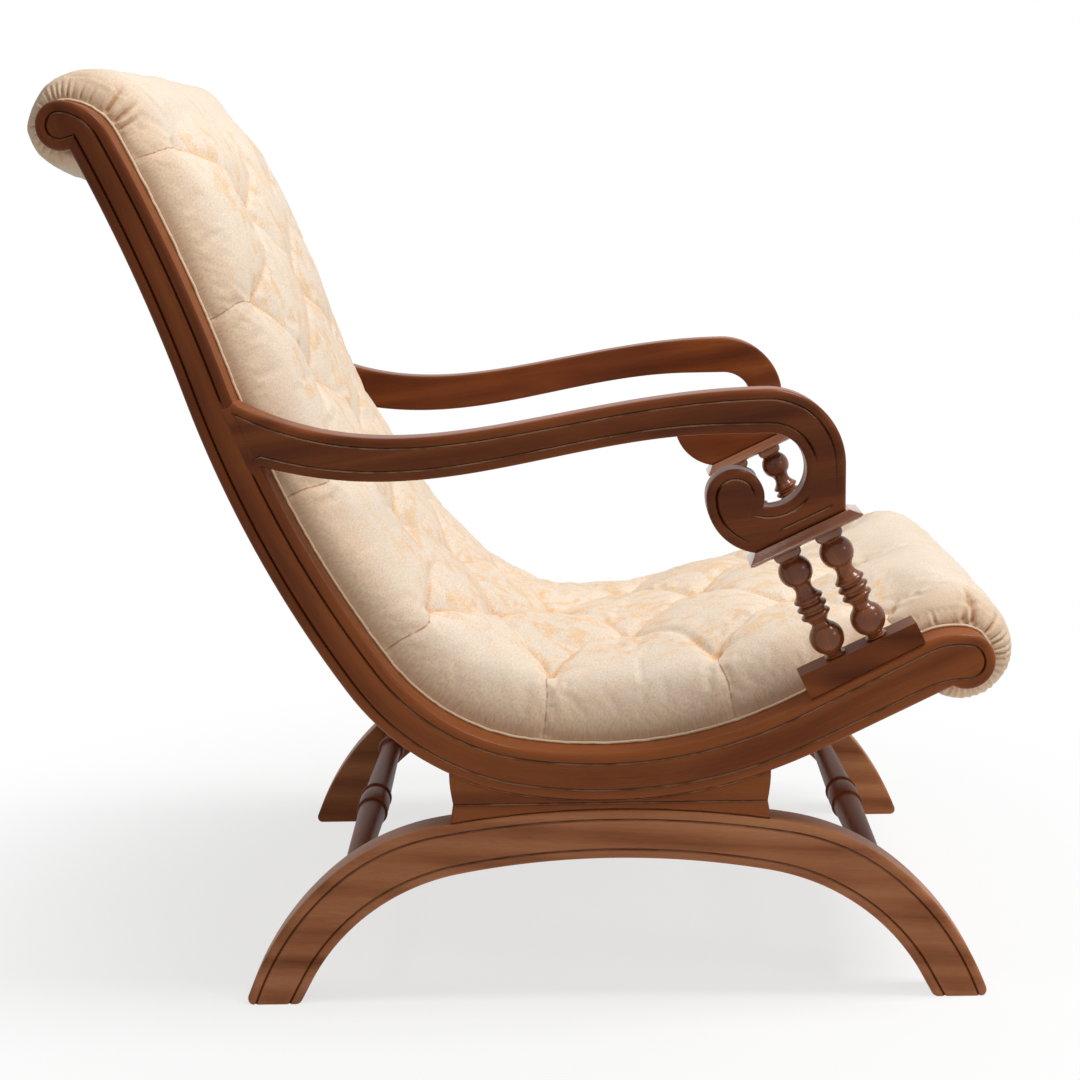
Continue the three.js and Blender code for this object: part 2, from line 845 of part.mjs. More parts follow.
// Foot with its two corners eased, listed from the outer edge to the inner one
function footPoints(outerHalf, innerHalf) {
  const footEase = railEase * footEaseShare;
  const across = innerHalf.floor.clone().sub(outerHalf.floor).normalize();
  return [
    along(outerHalf.floor, outerHalf.down, -footEase),
    along(outerHalf.floor, across, footEase),
    along(innerHalf.floor, across, -footEase),
    along(innerHalf.floor, innerHalf.down, -footEase),
  ];
}

const archOutline = [
  ...archOuter.front.points.slice(1).reverse(),
  ...archOuter.rear.points,
  ...footPoints(archOuter.rear, archInner.rear),
  ...archInner.rear.points.slice(1).reverse(),
  ...archInner.front.points,
  ...footPoints(archOuter.front, archInner.front).reverse(),
];

// The carved line runs out through the feet, so its outline continues below the floor
function archGroove() {
  const below = (half) => along(half.floor, half.down, grooveInset * grooveRunoutShare);
  return grooveRing(
    [
      below(archOuter.front),
      ...archOuter.front.points.slice(1).reverse(),
      ...archOuter.rear.points,
      below(archOuter.rear),
      below(archInner.rear),
      ...archInner.rear.points.slice(1).reverse(),
      ...archInner.front.points,
      below(archInner.front),
    ],
    railOuterFace,
  );
}

const stretcherPlaces = { rear: archCentreY + stretcherSpread, front: archCentreY - stretcherSpread };
const archInnerFace = railOuterFace - archThickness;
const saddleMiddle = railOuterFace - archThickness / 2;

const dowelSpread = saddleLength * legDowelSpreadShare;
const dowelPlaces = { rear: saddleCentreY + dowelSpread, front: saddleCentreY - dowelSpread };

// Height of a side-view outline's edge at a given y
function edgeHeight(points, y) {
  const k = points.findIndex((point, i) => i > 0 && (point.x - y) * (points[i - 1].x - y) <= 0);
  const [a, b] = [points[k - 1], points[k]];
  return a.y + ((b.y - a.y) * (y - a.x)) / (b.x - a.x);
}

const archTopEdge = [...archOuter.front.points.slice(1).reverse(), ...archOuter.rear.points];
const railUnderEdge = railStations.map((station) => underRail(station, 0));

function dowelSpan(y) {
  return {
    from: edgeHeight(archTopEdge, y) - legDowelReach,
    to: edgeHeight(railUnderEdge, y) + legDowelReach,
  };
}

const dowelBore = (y) => {
  const { from, to } = dowelSpan(y);
  const start = at(y, from - clearance);
  return pegInSide(saddleMiddle, start, at(0, 1), to - from + 2 * clearance, legDowelRadius + clearance);
};

const dowelBores = () => Object.values(dowelPlaces).map(dowelBore);

function arch() {
  const body = solid(board(archOutline, archInnerFace, railOuterFace, railEase));
  const reach = archInnerFace + stretcherTenonLength + clearance;
  const bores = Object.values(stretcherPlaces).map((y) =>
    barAlongX(at(y, stretcherHeight), stretcherTenonRadius + clearance, archInnerFace - overrun, reach),
  );
  return cut(body, [archGroove(), ...bores, ...dowelBores()]);
}

// End of a saddle half: up or down from the joint to the piece that it is fitted to
function saddleEnd(base, rise, side) {
  const end = saddleCentreY + (side * saddleLength) / 2;
  const curved = Array.from({ length: saddleEndSteps + 1 }, (_, i) => {
    const share = i / saddleEndSteps;
    const bulge = saddleEndBulge * Math.sin((TURN / 4) * share);
    return at(end - side * (saddleEndBulge - bulge), base + rise * saddleEndRise * share);
  });
  return [...curved, at(end, base + rise * saddleBlankRise)];
}

function saddle(upper) {
  const side = upper ? 1 : -1;
  const base = saddleJoint + (side * clearance) / 2;
  const inner = saddleMiddle - saddleThickness / 2;
  const outer = saddleMiddle + saddleThickness / 2;
  const blank = board([...saddleEnd(base, side, 1), ...saddleEnd(base, side, -1).reverse()], inner, outer);
  const neighbour = inset(upper ? railOutline : archOutline, -clearance);
  return cut(solid(blank), [board(neighbour, inner - overrun, outer + overrun), ...dowelBores()]);
}

function stretcher() {
  const half = archInnerFace - clearance;
  const tip = half + stretcherTenonLength;
  const halfProfile = [
    ...scaled(stretcherShares, stretcherRadius, half),
    [stretcherTenonRadius, half],
    [stretcherTenonRadius, tip],
    [0, tip],
  ];
  const mirrored = halfProfile.map(([radius, x]) => [radius, -x]).reverse();
  return turned([...mirrored, ...halfProfile]).rotateZ(-TURN / 4);
}

// Side rail with every seat cut in it
function sideRail() {
  const blank = solid(board(railOutline, railInnerFace, railOuterFace, railEase));
  const cutters = [
    grooveRing(railOutline, railOuterFace),
    root.housing,
    root.mortise,
    ...spindleBores(-spindleTenonReach - clearance, overrun),
    ...dowelBores(),
    ...Object.values(crossRails).map((parts) => parts.mortise),
    barMortise(headCurl),
    barMortise(kneeCurl),
  ];
  return cut(blank, cutters);
}

// Upholstery: it follows the rail's upper outline from the back of the head scroll,
// over the back and the seat, to the underside of the knee scroll. Each place gives a
// point at an offset from the wood, the padding's thickness there and its inner face.
function wrapPlaces(curl, crown, thinnest, easeEnd, end) {
  return Array.from({ length: wrapSteps }, (_, i) => {
    const angle = radians((end * (i + 1)) / wrapSteps);
    const share = Math.min(1, angle / radians(easeEnd));
    const fall = (1 + Math.cos((TURN / 2) * share)) / 2;
    return {
      point: (offset) => curl.point(angle, offset),
      thickness: thinnest + (crown - thinnest) * fall,
      floor: rollFloor,
      round: THREE.MathUtils.lerp(sideRound, rollSideRound, Math.min(1, angle / radians(rollSideFrom))),
    };
  });
}

// The padding's height over the rail at a station, on a smooth curve through the keys
function crownAt(station) {
  const last = crownKeys.length - 1;
  const slopeAt = (i) => {
    const before = crownKeys[Math.max(i - 1, 0)];
    const after = crownKeys[Math.min(i + 1, last)];
    return (after[1] - before[1]) / (after[0] - before[0]);
  };
  const found = crownKeys.findLastIndex(([from]) => from <= station);
  const i = Math.min(Math.max(found, 0), last - 1);
  const [from, height] = crownKeys[i];
  const [to, nextHeight] = crownKeys[i + 1];
  const run = to - from;
  const t = THREE.MathUtils.clamp((station - from) / run, 0, 1);
  const eased = t * t * (3 - 2 * t);
  const leaving = t * (1 - t) * (1 - t) * slopeAt(i);
  const arriving = t * t * (1 - t) * slopeAt(i + 1);
  return THREE.MathUtils.lerp(height, nextHeight, eased) + run * (leaving - arriving);
}

// Stations from the head to the knee: four steps from each row of tufts to the next
function runStations() {
  const steps = tuftRows.slice(1).flatMap((station, i) =>
    [1, 2, 3, 4].map((step) => THREE.MathUtils.lerp(tuftRows[i], station, step / 4)),
  );
  return [backTrack.length, tuftRows[0], ...steps];
}

function upholsteryPlaces() {
  const tail = backTrack.length - headTail;
  const headCrown = crownAt(backTrack.length);
  const kneeCrown = crownAt(-frontTrack.length);
  const run = runStations().map((station, i) => ({
    point: (offset) => overRail(station, offset),
    thickness: crownAt(station),
    floor: cushionFloor,
    round: sideRound,
    row: i - 1,
  }));
  return [
    {
      point: (offset) => underRail(tail, -offset),
      thickness: headTailThickness,
      floor: 0,
      round: rollSideRound,
    },
    ...wrapPlaces(headCurl, headCrown, headWrapThickness, headWrapEaseEnd, headWrapEnd).reverse(),
    ...run,
    ...wrapPlaces(kneeCurl, kneeCrown, kneeWrapThickness, kneeWrapEaseEnd, kneeWrapEnd),
  ];
}

// How far the cover is drawn in. Columns are half a tuft spacing apart, rows a quarter
// of the way between rows of tufts, and every other column is half a row out of step.
function sewnDepth(row, x) {
  const column = (2 * x) / tuftSpacing;
  if (row < 0) return 0;
  if (Math.abs(column) > 2 * outerTuft + 1 / 4) return row % 4 === 0 ? pleatDepth : 0;
  const step = Math.abs(Math.round(column));
  if ((step + row) % 2 === 1) return tuftDepth * shoulderShare;
  if (step % 2 === 1) return tuftDepth * valleyShare;
  return (step + row) % 4 === 0 ? tuftDepth : 0;
}

function cushion() {
  const half = railInnerFace - cushionSideGap;
  const shares = [...crossShares.map((share) => -share), ...crossShares.slice(0, -1).reverse()];
  const places = upholsteryPlaces();
  const rings = places.map(({ point, thickness, floor, round, row }) => {
    const ringPoint = (share, offset) => {
      const { x, y } = point(offset);
      return new THREE.Vector3(share * half, x, y);
    };
    const base = clearance + stripHeight;
    const top = shares.map((share) => {
      const rise = Math.sqrt(1 - Math.abs(share) ** round);
      const sewn = row === undefined ? 0 : sewnDepth(row, share * half);
      return ringPoint(share, base + (thickness - base - sewn) * rise);
    });
    return [...top, ...underCrossShares.map((share) => ringPoint(share, -floor))];
  });
  const firstRow = places.findIndex(({ row }) => row === 0);
  return loft(rings, (firstRow + crossShares.length - 1) % 2);
}

// Thin boards that follow the rail's line between two depths under its upper edge
function followingStrip(from, to, lower, upper, inner, outer) {
  const stations = [from, ...railStations.filter((s) => s > from && s < to), to];
  const outline = [
    ...stations.map((station) => overRail(station, upper)),
    ...stations.reverse().map((station) => overRail(station, lower)),
  ];
  return board(outline, inner, outer);
}

function webbingDeck() {
  const side = railInnerFace - cushionSideGap;
  const from = -frontTrack.length + deckEndGap;
  const to = backTrack.length - deckEndGap;
  return followingStrip(from, to, -deckDepth - deckThickness, -deckDepth, -side, side);
}

function backCloth() {
  const side = railInnerFace - cushionSideGap;
  const stations = railStations.filter((s) => s >= backClothFront && s <= backClothTop);
  const outline = [
    ...stations.map((station) => underRail(station, backClothInset + backClothThickness)),
    ...stations.reverse().map((station) => underRail(station, backClothInset)),
  ];
  return board(outline, -side, side);
}

// Edge strip tacked along the inner rim of the rail, round both scrolls
function edgeStrip() {
  const end = radians(stripEnd);
  const curled = (curl, offset) =>
    [...anglesBetween(0, curl.joined, curl.easing), ...anglesBetween(curl.joined, end, curl.radius)].map(
      (angle) => curl.point(angle, offset),
    );
  const side = (offset) => [
    ...curled(kneeCurl, offset).reverse(),
    ...railStations.map((station) => overRail(station, offset)),
    ...curled(headCurl, offset),
  ];
  const outline = [...side(clearance + stripHeight), ...side(clearance).reverse()];
  return board(outline, railInnerFace + clearance, railInnerFace + clearance + stripWidth);
}

// Materials

const finish = (color, roughness) => new THREE.MeshStandardMaterial({ color, roughness, metalness: 0 });
const polishedWood = () => finish(0x6b3a20, 0.38);
const darkWood = () => finish(0x5a2f1a, 0.4);
const plainWood = () => finish(0xa9794f, 0.75);
const damask = () => finish(0xecd3b0, 0.85);
const lining = () => finish(0xd9c4a4, 0.9);
const jute = () => finish(0xa88a5c, 0.95);

// Assembly

const chair = new THREE.Group();

function single(name, geometry, material) {
  const mesh = new THREE.Mesh(geometry, material);
  mesh.name = name;
  chair.add(mesh);
  return mesh;
}

// A left piece as modelled and its right twin, mirrored across the middle plane
function pair(name, geometry, material) {
  single(`${name}_left`, geometry, material());
  single(`${name}_right`, geometry, material()).scale.x = -1;
}

function placeSpindle(name, ahead) {
  const geometry = spindle();
  geometry.rotateX(supportAbove.angle());
  const origin = inSupport(ahead, spindleBase);
  geometry.translate(armMiddle, origin.x, origin.y);
  pair(name, geometry, darkWood);
}

function placeDowel(name, y) {
  const { from, to } = dowelSpan(y);
  pair(name, pegInSide(saddleMiddle, at(y, from), at(0, 1), to - from, legDowelRadius), plainWood);
}

pair('side_rail', geometryOf(sideRail()), polishedWood);
pair('arm', geometryOf(arm()), polishedWood);
const capBores = spindleBores(capBase - overrun, capTop + overrun);
pair('arm_cap_moulding', geometryOf(cut(solid(armCap()), capBores)), darkWood);
pair('spindle_base_block', geometryOf(baseBlock()), polishedWood);
for (const [name, ahead] of Object.entries(spindlePlaces)) placeSpindle(`spindle_${name}`, ahead);
pair('leg_arch', geometryOf(arch()), polishedWood);
pair('upper_saddle', geometryOf(saddle(true)), polishedWood);
pair('lower_saddle', geometryOf(saddle(false)), polishedWood);
for (const [name, y] of Object.entries(dowelPlaces)) placeDowel(`leg_dowel_${name}`, y);
for (const [name, y] of Object.entries(stretcherPlaces)) {
  single(`stretcher_${name}`, stretcher(), darkWood()).position.set(0, y, stretcherHeight);
}
for (const [name, parts] of Object.entries(crossRails)) {
  single(`cross_rail_${name}`, geometryOf(join(parts.body, [parts.tenon])), plainWood());
}
single('head_bar', geometryOf(scrollBar(headCurl)), plainWood());
single('knee_bar', geometryOf(scrollBar(kneeCurl)), plainWood());
single('webbing_deck', webbingDeck(), jute());
single('back_cloth', backCloth(), lining());
single('tufted_cushion', cushion(), damask());
pair('edge_strip', edgeStrip(), damask);

// The origin is on the floor below the middle of the whole chair
const bounds = new THREE.Box3().setFromObject(chair);
chair.position.y = -(bounds.min.y + bounds.max.y) / 2;

export default chair;
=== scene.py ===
import math
import bmesh
import bpy
import numpy as np
from mathutils import Matrix, Vector, noise
from mathutils.geometry import delaunay_2d_cdt

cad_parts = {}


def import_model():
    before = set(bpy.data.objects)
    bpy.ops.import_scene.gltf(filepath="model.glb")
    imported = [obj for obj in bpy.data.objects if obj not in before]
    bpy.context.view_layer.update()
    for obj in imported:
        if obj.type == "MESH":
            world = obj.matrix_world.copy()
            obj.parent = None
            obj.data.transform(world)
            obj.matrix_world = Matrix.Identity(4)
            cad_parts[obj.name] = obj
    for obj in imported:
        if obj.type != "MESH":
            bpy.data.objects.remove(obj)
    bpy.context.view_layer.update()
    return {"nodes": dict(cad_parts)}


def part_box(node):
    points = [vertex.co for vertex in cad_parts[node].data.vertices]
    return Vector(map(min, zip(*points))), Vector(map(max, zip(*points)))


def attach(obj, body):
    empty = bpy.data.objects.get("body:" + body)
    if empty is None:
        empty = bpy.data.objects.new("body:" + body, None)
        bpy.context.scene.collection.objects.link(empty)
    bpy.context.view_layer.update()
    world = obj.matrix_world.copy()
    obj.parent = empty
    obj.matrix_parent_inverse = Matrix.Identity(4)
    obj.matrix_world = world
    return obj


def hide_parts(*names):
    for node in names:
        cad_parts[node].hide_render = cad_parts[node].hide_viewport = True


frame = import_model()

# Lengths are in millimetres in the side view (y, z) of the chair, and stations are
# distances along the rail's centre line from its lowest point, positive to the head.
MM = 0.001
RAIL_OUT, RAIL_IN = 310.0, 272.0
BOTTOM = np.array([-67.0, 246.25])
BACK_PIECES = [(520, 9), (243, 46), (1150, 17), (-1790, 8.4)]
FRONT_PIECES = [(-480, 26.3), (None, 144)]
DEPTH_SEAT, DEPTH_HEAD, DEPTH_KNEE = 50.5, 42.0, 55.0
HEAD = dict(radius=24.5, ahead=27.8, below=18.0)
KNEE = dict(radius=29.0, ahead=30.0, below=10.9)
GAP = 0.3


def rad(degrees):
    return degrees * math.pi / 180


def toward(angle):
    return np.array([math.cos(angle), math.sin(angle)])


def smoothstep(x, low, high):
    t = np.clip((np.asarray(x, float) - low) / (high - low), 0, 1)
    return t * t * (3 - 2 * t)


def bell(distance, width):
    return np.exp(-(distance / width) ** 2)


# Tracks: chains of tangent arcs and straights, walked by distance

def make_track(start, heading, pieces):
    legs, point, angle, total = [], np.array(start, float), heading, 0.0
    for radius, size in pieces:
        length = size if radius is None else abs(radius) * rad(size)
        curve = 0.0 if radius is None else 1.0 / radius
        legs.append((total, point, angle, curve))
        point, angle = walk_leg(point, angle, curve, length)
        total += length
    return legs, total


def walk_leg(point, angle, curve, dist):
    if curve == 0:
        return point + toward(angle) * dist, angle
    radius = 1 / curve
    centre = point + toward(angle + math.pi / 2) * radius
    turned = angle + dist * curve
    return centre + toward(turned - math.pi / 2) * radius, turned


def walk(track, dist):
    leg = [item for item in track[0] if item[0] <= dist + 1e-9][-1]
    return walk_leg(leg[1], leg[2], leg[3], dist - leg[0])


BACK = make_track(BOTTOM, 0.0, BACK_PIECES)
FRONT = make_track(BOTTOM, math.pi, FRONT_PIECES)
HEAD_END, KNEE_END = BACK[1], -FRONT[1]


def rail_at(s):
    """Centre point, heading to the head, upward normal and depth of the rail."""
    track, to_head = (BACK, True) if s >= 0 else (FRONT, False)
    point, angle = walk(track, min(abs(s), track[1]))
    heading = angle if to_head else angle + math.pi
    end_depth = DEPTH_HEAD if to_head else DEPTH_KNEE
    depth = DEPTH_SEAT + (end_depth - DEPTH_SEAT) * abs(s) / track[1]
    return point, toward(heading), toward(heading + math.pi / 2), depth


def over(s, height):
    point, _, up, depth = rail_at(s)
    return point + up * (depth / 2 + height)


def under(s, height):
    point, _, up, depth = rail_at(s)
    return point + up * (height - depth / 2)


class Curl:
    """A scroll at one end of the rail: an easing arc that runs into a circle."""

    def __init__(self, s, scroll):
        self.start, forward, self.up, depth = rail_at(s)
        self.forward = forward if s > 0 else -forward
        self.half = depth / 2
        self.ahead, self.below, self.radius = scroll["ahead"], scroll["below"], scroll["radius"]
        drop = self.below + self.half
        self.easing = (self.ahead ** 2 + drop ** 2 - self.radius ** 2) / (2 * (drop - self.radius))
        self.joined = math.atan2(self.ahead, self.easing - drop)
        rise = self.below - self.half
        self.corner = math.atan2(-math.sqrt(self.radius ** 2 - rise ** 2), rise) + 2 * math.pi

    def point(self, angle, offset=0.0):
        on_easing = angle < self.joined
        radius = (self.easing if on_easing else self.radius) + offset
        f, u = (0.0, self.half - self.easing) if on_easing else (self.ahead, -self.below)
        f, u = f + radius * math.sin(angle), u + radius * math.cos(angle)
        return self.start + self.forward * f + self.up * u

    def normal(self, angle):
        return self.forward * math.sin(angle) + self.up * math.cos(angle)

    def outline(self):
        easing = np.linspace(0, self.joined, 14)[1:]
        circle = np.linspace(self.joined, self.corner, 80)[1:]
        return [self.point(angle) for angle in np.concatenate([easing, circle])]


HEAD_CURL = Curl(HEAD_END, HEAD)
KNEE_CURL = Curl(KNEE_END, KNEE)

# The arm's root is let into the rail between two stations; the rail's carved line
# is faint there and its border lies a little lower than the arm's face.
ROOT_LOW, ROOT_TOP = 523.0, 595.0
ROOT_SINK = 0.45
ROOT_GROOVE = 0.2
ROOT_BLEND = 9.0


def rail_outline():
    """Points round the rail, with the carved line's strength and how far the face sinks."""
    run = np.linspace(KNEE_END, HEAD_END, 330)
    near_root = smoothstep(run, ROOT_LOW - ROOT_BLEND, ROOT_LOW)
    near_root *= 1 - smoothstep(run, ROOT_TOP, ROOT_TOP + ROOT_BLEND)
    head, knee = HEAD_CURL.outline(), KNEE_CURL.outline()[::-1]
    below = [under(s, 0) for s in run[1:-1][::-1]]
    points = [over(s, 0) for s in run] + head + below + knee
    strength = np.ones(len(points))
    strength[:len(run)] = 1 - (1 - ROOT_GROOVE) * near_root
    sink = np.zeros(len(points))
    sink[:len(run)] = ROOT_SINK * near_root
    return np.array(points), strength, sink


RAIL_POINTS, RAIL_STRENGTH, RAIL_SINK = rail_outline()
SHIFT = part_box("side_rail_left")[0][1] / MM - RAIL_POINTS[:, 0].min()


def world(points):
    """Points (x, y, z) of the chair in millimetres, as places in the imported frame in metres."""
    return (np.asarray(points, float) + np.array([0, SHIFT, 0])) * MM


# Meshes

SHARP = 32.0        # edges over this angle stay crisp
TURNED_SHARP, CAP_SHARP, SHEET_SHARP, ALL_SMOOTH = 38.0, 30.0, 50.0, 180.0
OTHER_LOG = 3.7     # how far the right pieces' grain lies from the left pieces' grain, in metres
WELD = 1.2e-5


def set_attribute(mesh, name, values):
    values = np.asarray(values, np.float32)
    kind, field = ("FLOAT", "value") if values.ndim == 1 else ("FLOAT_VECTOR", "vector")
    mesh.attributes.new(name, kind, "POINT").data.foreach_set(field, values.ravel())


def shade(obj, sharp):
    mesh = obj.data
    mesh.polygons.foreach_set("use_smooth", [True] * len(mesh.polygons))
    if sharp < ALL_SMOOTH:
        mesh.set_sharp_from_angle(angle=rad(sharp))
    mesh.update()


def add_mesh(name, points, faces, sharp=SHARP, **attributes):
    mesh = bpy.data.meshes.new(name)
    mesh.from_pydata(world(points).tolist(), [], faces)
    for key, values in attributes.items():
        set_attribute(mesh, key, values)
    obj = bpy.data.objects.new(name, mesh)
    bpy.context.scene.collection.objects.link(obj)
    shade(obj, sharp)
    return obj


def welded(obj, sharp=SHARP):
    """Joins points that coincide and turns every face outward."""
    bm = bmesh.new()
    bm.from_mesh(obj.data)
    bmesh.ops.remove_doubles(bm, verts=bm.verts, dist=WELD)
    bmesh.ops.dissolve_degenerate(bm, edges=bm.edges, dist=1e-6)
    bmesh.ops.recalc_face_normals(bm, faces=bm.faces)
    bm.to_mesh(obj.data)
    bm.free()
    shade(obj, sharp)


def skin(rows, ring, capped=True, flipped=False):
    """Quads between neighbouring closed rings of points, and a face over each end."""
    faces = []
    for r in range(rows - 1):
        for i in range(ring):
            here, there = r * ring + i, r * ring + (i + 1) % ring
            quad = (here, there, there + ring, here + ring)
            faces.append((here, *quad[:0:-1]) if flipped else quad)
    if capped:
        first, last = range(ring), range((rows - 1) * ring, rows * ring)
        faces += [tuple(first), tuple(last[::-1])] if flipped else [tuple(first[::-1]), tuple(last)]
    return faces


def pair(name, points, faces, sharp=SHARP, grain=None, recess=None):
    """The left piece as modelled and its mirror image on the right, with its grain moved on."""
    made = []
    points = np.asarray(points, float)
    recess = np.zeros(len(points)) if recess is None else recess
    for side, sign in (("left", 1), ("right", -1)):
        turned = [tuple(f)[::sign] for f in faces]
        shifted = np.asarray(grain) + [0.0, 0.0 if sign > 0 else OTHER_LOG, 0.0]
        made.append(add_mesh(f"{name}_{side}", points * [sign, 1, 1], turned, sharp,
                             grain=shifted, recess=recess))
    return made


def signed_area(loop):
    after = np.roll(loop, -1, axis=0)
    return 0.5 * float(np.sum(loop[:, 0] * after[:, 1] - after[:, 0] * loop[:, 1]))


def unit(rows):
    return rows / np.linalg.norm(rows, axis=-1, keepdims=True)


CLEAR_SHARE, LEAST_MITRE = 0.985, 0.35


def inset(loop, dist):
    """A closed counter-clockwise loop moved inward; points that would cross are drawn together."""
    if dist <= 0.01:
        return loop.copy()
    before = unit(loop - np.roll(loop, 1, axis=0))
    after = unit(np.roll(loop, -1, axis=0) - loop)
    turned = np.stack([-after[:, 1], after[:, 0]], axis=1)
    middle = unit(np.stack([-before[:, 1], before[:, 0]], axis=1) + turned)
    moved = loop + middle * (dist / np.clip((middle * turned).sum(1), LEAST_MITRE, 1))[:, None]
    span = np.roll(loop, -1, axis=0) - loop
    rel = moved[:, None, :] - loop[None]
    t = np.clip((rel * span[None]).sum(2) / (span ** 2).sum(1)[None], 0, 1)
    near = np.linalg.norm(rel - t[..., None] * span[None], axis=2).min(1)
    clear = near > dist * CLEAR_SHARE
    kept, count = np.nonzero(clear)[0], len(loop)
    for i in np.nonzero(~clear)[0]:
        gap = (kept - i + count // 2) % count - count // 2
        moved[i] = moved[kept[np.argmin(np.abs(gap))]]
    return moved


def rounded(loop, near, passes, reach=15.0):
    """Evens out the part of a loop that lies near a point of the side view."""
    for _ in range(passes):
        pull = bell(np.linalg.norm(loop - near, axis=1), reach)[:, None]
        between = (np.roll(loop, 1, axis=0) + np.roll(loop, -1, axis=0)) / 2
        loop = loop + (between - loop) * pull
    return loop


def filled(loop, spacing=9.0):
    """Triangles that close a loop, over a grid of inner points: those points and the faces."""
    low, high = loop.min(0) + spacing / 2, loop.max(0)
    grid = [(y, z) for y in np.arange(low[0], high[0], spacing)
            for z in np.arange(low[1], high[1], spacing)]
    flat = [Vector(p) for p in loop.tolist() + grid]
    count = len(loop)
    rim = [(i, (i + 1) % count) for i in range(count)]
    points, _, faces, origin, _, _ = delaunay_2d_cdt(flat, rim, [], 1, 1e-4)
    index, extra = {}, []
    for i, source in enumerate(origin):
        on_rim = [k for k in source if k < count]
        index[i] = on_rim[0] if on_rim else count + len(extra)
        if not on_rim:
            extra.append(tuple(points[i]))
    return np.array(extra).reshape(-1, 2), [tuple(index[i] for i in face) for face in faces]


EASED_FROM, EASING_PASSES = 6.0, 40     # insets over the first follow an evened corner
SINK_ENDS = 12.0, 15.0                  # insets between which a sunk border rises to the panel


def board(name, loop, section, grain_of, strength=None, sink=None, ease_at=None):
    """A board whose edge follows a section of (inset, x, groove depth) rows, back to front."""
    strength = np.ones(len(loop)) if strength is None else strength
    sink = np.zeros(len(loop)) if sink is None else sink
    if signed_area(loop) < 0:
        loop, strength, sink = loop[::-1], strength[::-1], sink[::-1]
    count, rows = len(loop), len(section)
    middle = (section[0][1] + section[-1][1]) / 2
    deepest = max(depth for _, _, depth in section) or 1.0
    loops, points, recess = {}, [], []
    for dist, x, depth in section:
        if dist not in loops:
            loops[dist] = inset(loop, dist)
            if ease_at is not None and dist > EASED_FROM:
                loops[dist] = rounded(loops[dist], ease_at, EASING_PASSES)
        on_front = x > middle
        sunk = sink * (1 - smoothstep(dist, *SINK_ENDS)) if on_front else 0
        across = x - depth * strength - sunk
        points.append(np.column_stack([np.broadcast_to(across, count), loops[dist]]))
        # The recess attribute carries painted shade into the carved lines and a painted glint onto their
        # upward slopes.
        recess.append(strength * depth / deepest if on_front else np.zeros(count))
    faces = skin(rows, count, capped=False)
    total = rows * count
    for first, x in ((0, section[0][1]), ((rows - 1) * count, section[-1][1])):
        extra, triangles = filled(points[first // count][:, 1:])
        faces += [tuple(first + i if i < count else total + i - count for i in tri) for tri in triangles]
        points.append(np.column_stack([np.full(len(extra), x), extra]))
        recess.append(np.zeros(len(extra)))
        total += len(extra)
    points, recess = np.concatenate(points), np.concatenate(recess)
    made = pair(name, points, faces, SHARP, grain_of(points), recess)
    for obj in made:
        welded(obj)
    return made


SHADED_TURN = 1.2


def back_edge(inner, radius, steps):
    return [(round(radius * (1 - math.sin(a)), 4), inner + radius * (1 - math.cos(a)), 0.0)
            for a in np.linspace(0, math.pi / 2, steps)]


def front_edge(outer, wide, deep, steps, shade=0.0):
    """A rounded front edge; a trace of groove depth, too small to see as shape, paints shade on it."""
    return [(round(wide * (1 - math.cos(a)), 4), outer - deep * (1 - math.sin(a)),
             shade * max(0.0, 1 - a / SHADED_TURN)) for a in np.linspace(0, math.pi / 2, steps)]


BACK_ROUND, BORDER_ROUND, BORDER_SHARE = 3.2, 4.6, 0.6
PANEL_SINK = 0.2
CARVED_LINE = [(-0.7, 0.3), (-0.1, 0.9), (0.5, 2.4), (0.9, 2.7), (1.5, 1.7), (2.1, 0.7), (2.8, 0.1),
               (4.0, 0.0)]


def moulding(inner, outer, border):
    """Eased back edge, rounded border, carved line and flat panel."""
    rows = back_edge(inner, BACK_ROUND, 5) + front_edge(outer, border * BORDER_SHARE, BORDER_ROUND, 8)
    return rows + [(round(border + at, 4), outer - PANEL_SINK, depth) for at, depth in CARVED_LINE]


# Grain coordinates, in metres: along, across and through the wood

RUN_S = np.linspace(KNEE_END, HEAD_END, 500)
RUN_POINT = np.array([rail_at(s)[0] for s in RUN_S])
RUN_UP = np.array([rail_at(s)[2] for s in RUN_S])


def rail_grain(points):
    flat = points[:, 1:]
    nearest = ((flat[:, None] - RUN_POINT[None]) ** 2).sum(2).argmin(1)
    away, up = flat - RUN_POINT[nearest], RUN_UP[nearest]
    across = (away * up).sum(1)
    beyond = (away * np.column_stack([up[:, 1], -up[:, 0]])).sum(1)
    return np.column_stack([RUN_S[nearest] + beyond, across, points[:, 0]]) * MM


def straight_grain(degrees, offset=0):
    c, s = math.cos(rad(degrees)), math.sin(rad(degrees))

    def grain_of(points):
        along = points[:, 1] * c + points[:, 2] * s
        across = points[:, 2] * c - points[:, 1] * s
        return np.column_stack([along + offset, across, points[:, 0]]) * MM
    return grain_of


# Side rails

RAIL_BORDER, ARCH_BORDER, ARM_BORDER = 10.4, 9.6, 9.4
board("rail", RAIL_POINTS, moulding(RAIL_IN, RAIL_OUT, RAIL_BORDER), rail_grain,
      RAIL_STRENGTH, RAIL_SINK, KNEE_CURL.point(KNEE_CURL.corner))

# Leg arches: one band with its own curve on each edge, carried past the floor and cut there

ARCH_Y, ARCH_TOP, ARCH_BAND = -77.0, 210.7, 53.4
ARCH_OUTER = [(1062, 10.1), (237, 30.6), (321, 27.3)]
ARCH_INNER = [(866, 10.8), (231, 51.2)]
FOOT_SPARE = 60.0
FOOT_ROUND, FOOT_REACH = 0.007, 0.09
FOOT_CUTS = 0.2, 0.4, 0.6, 0.8      # shares of the turn at which a plane cuts
INNER_FOOT, OUTER_FOOT = 62.0, 112.0


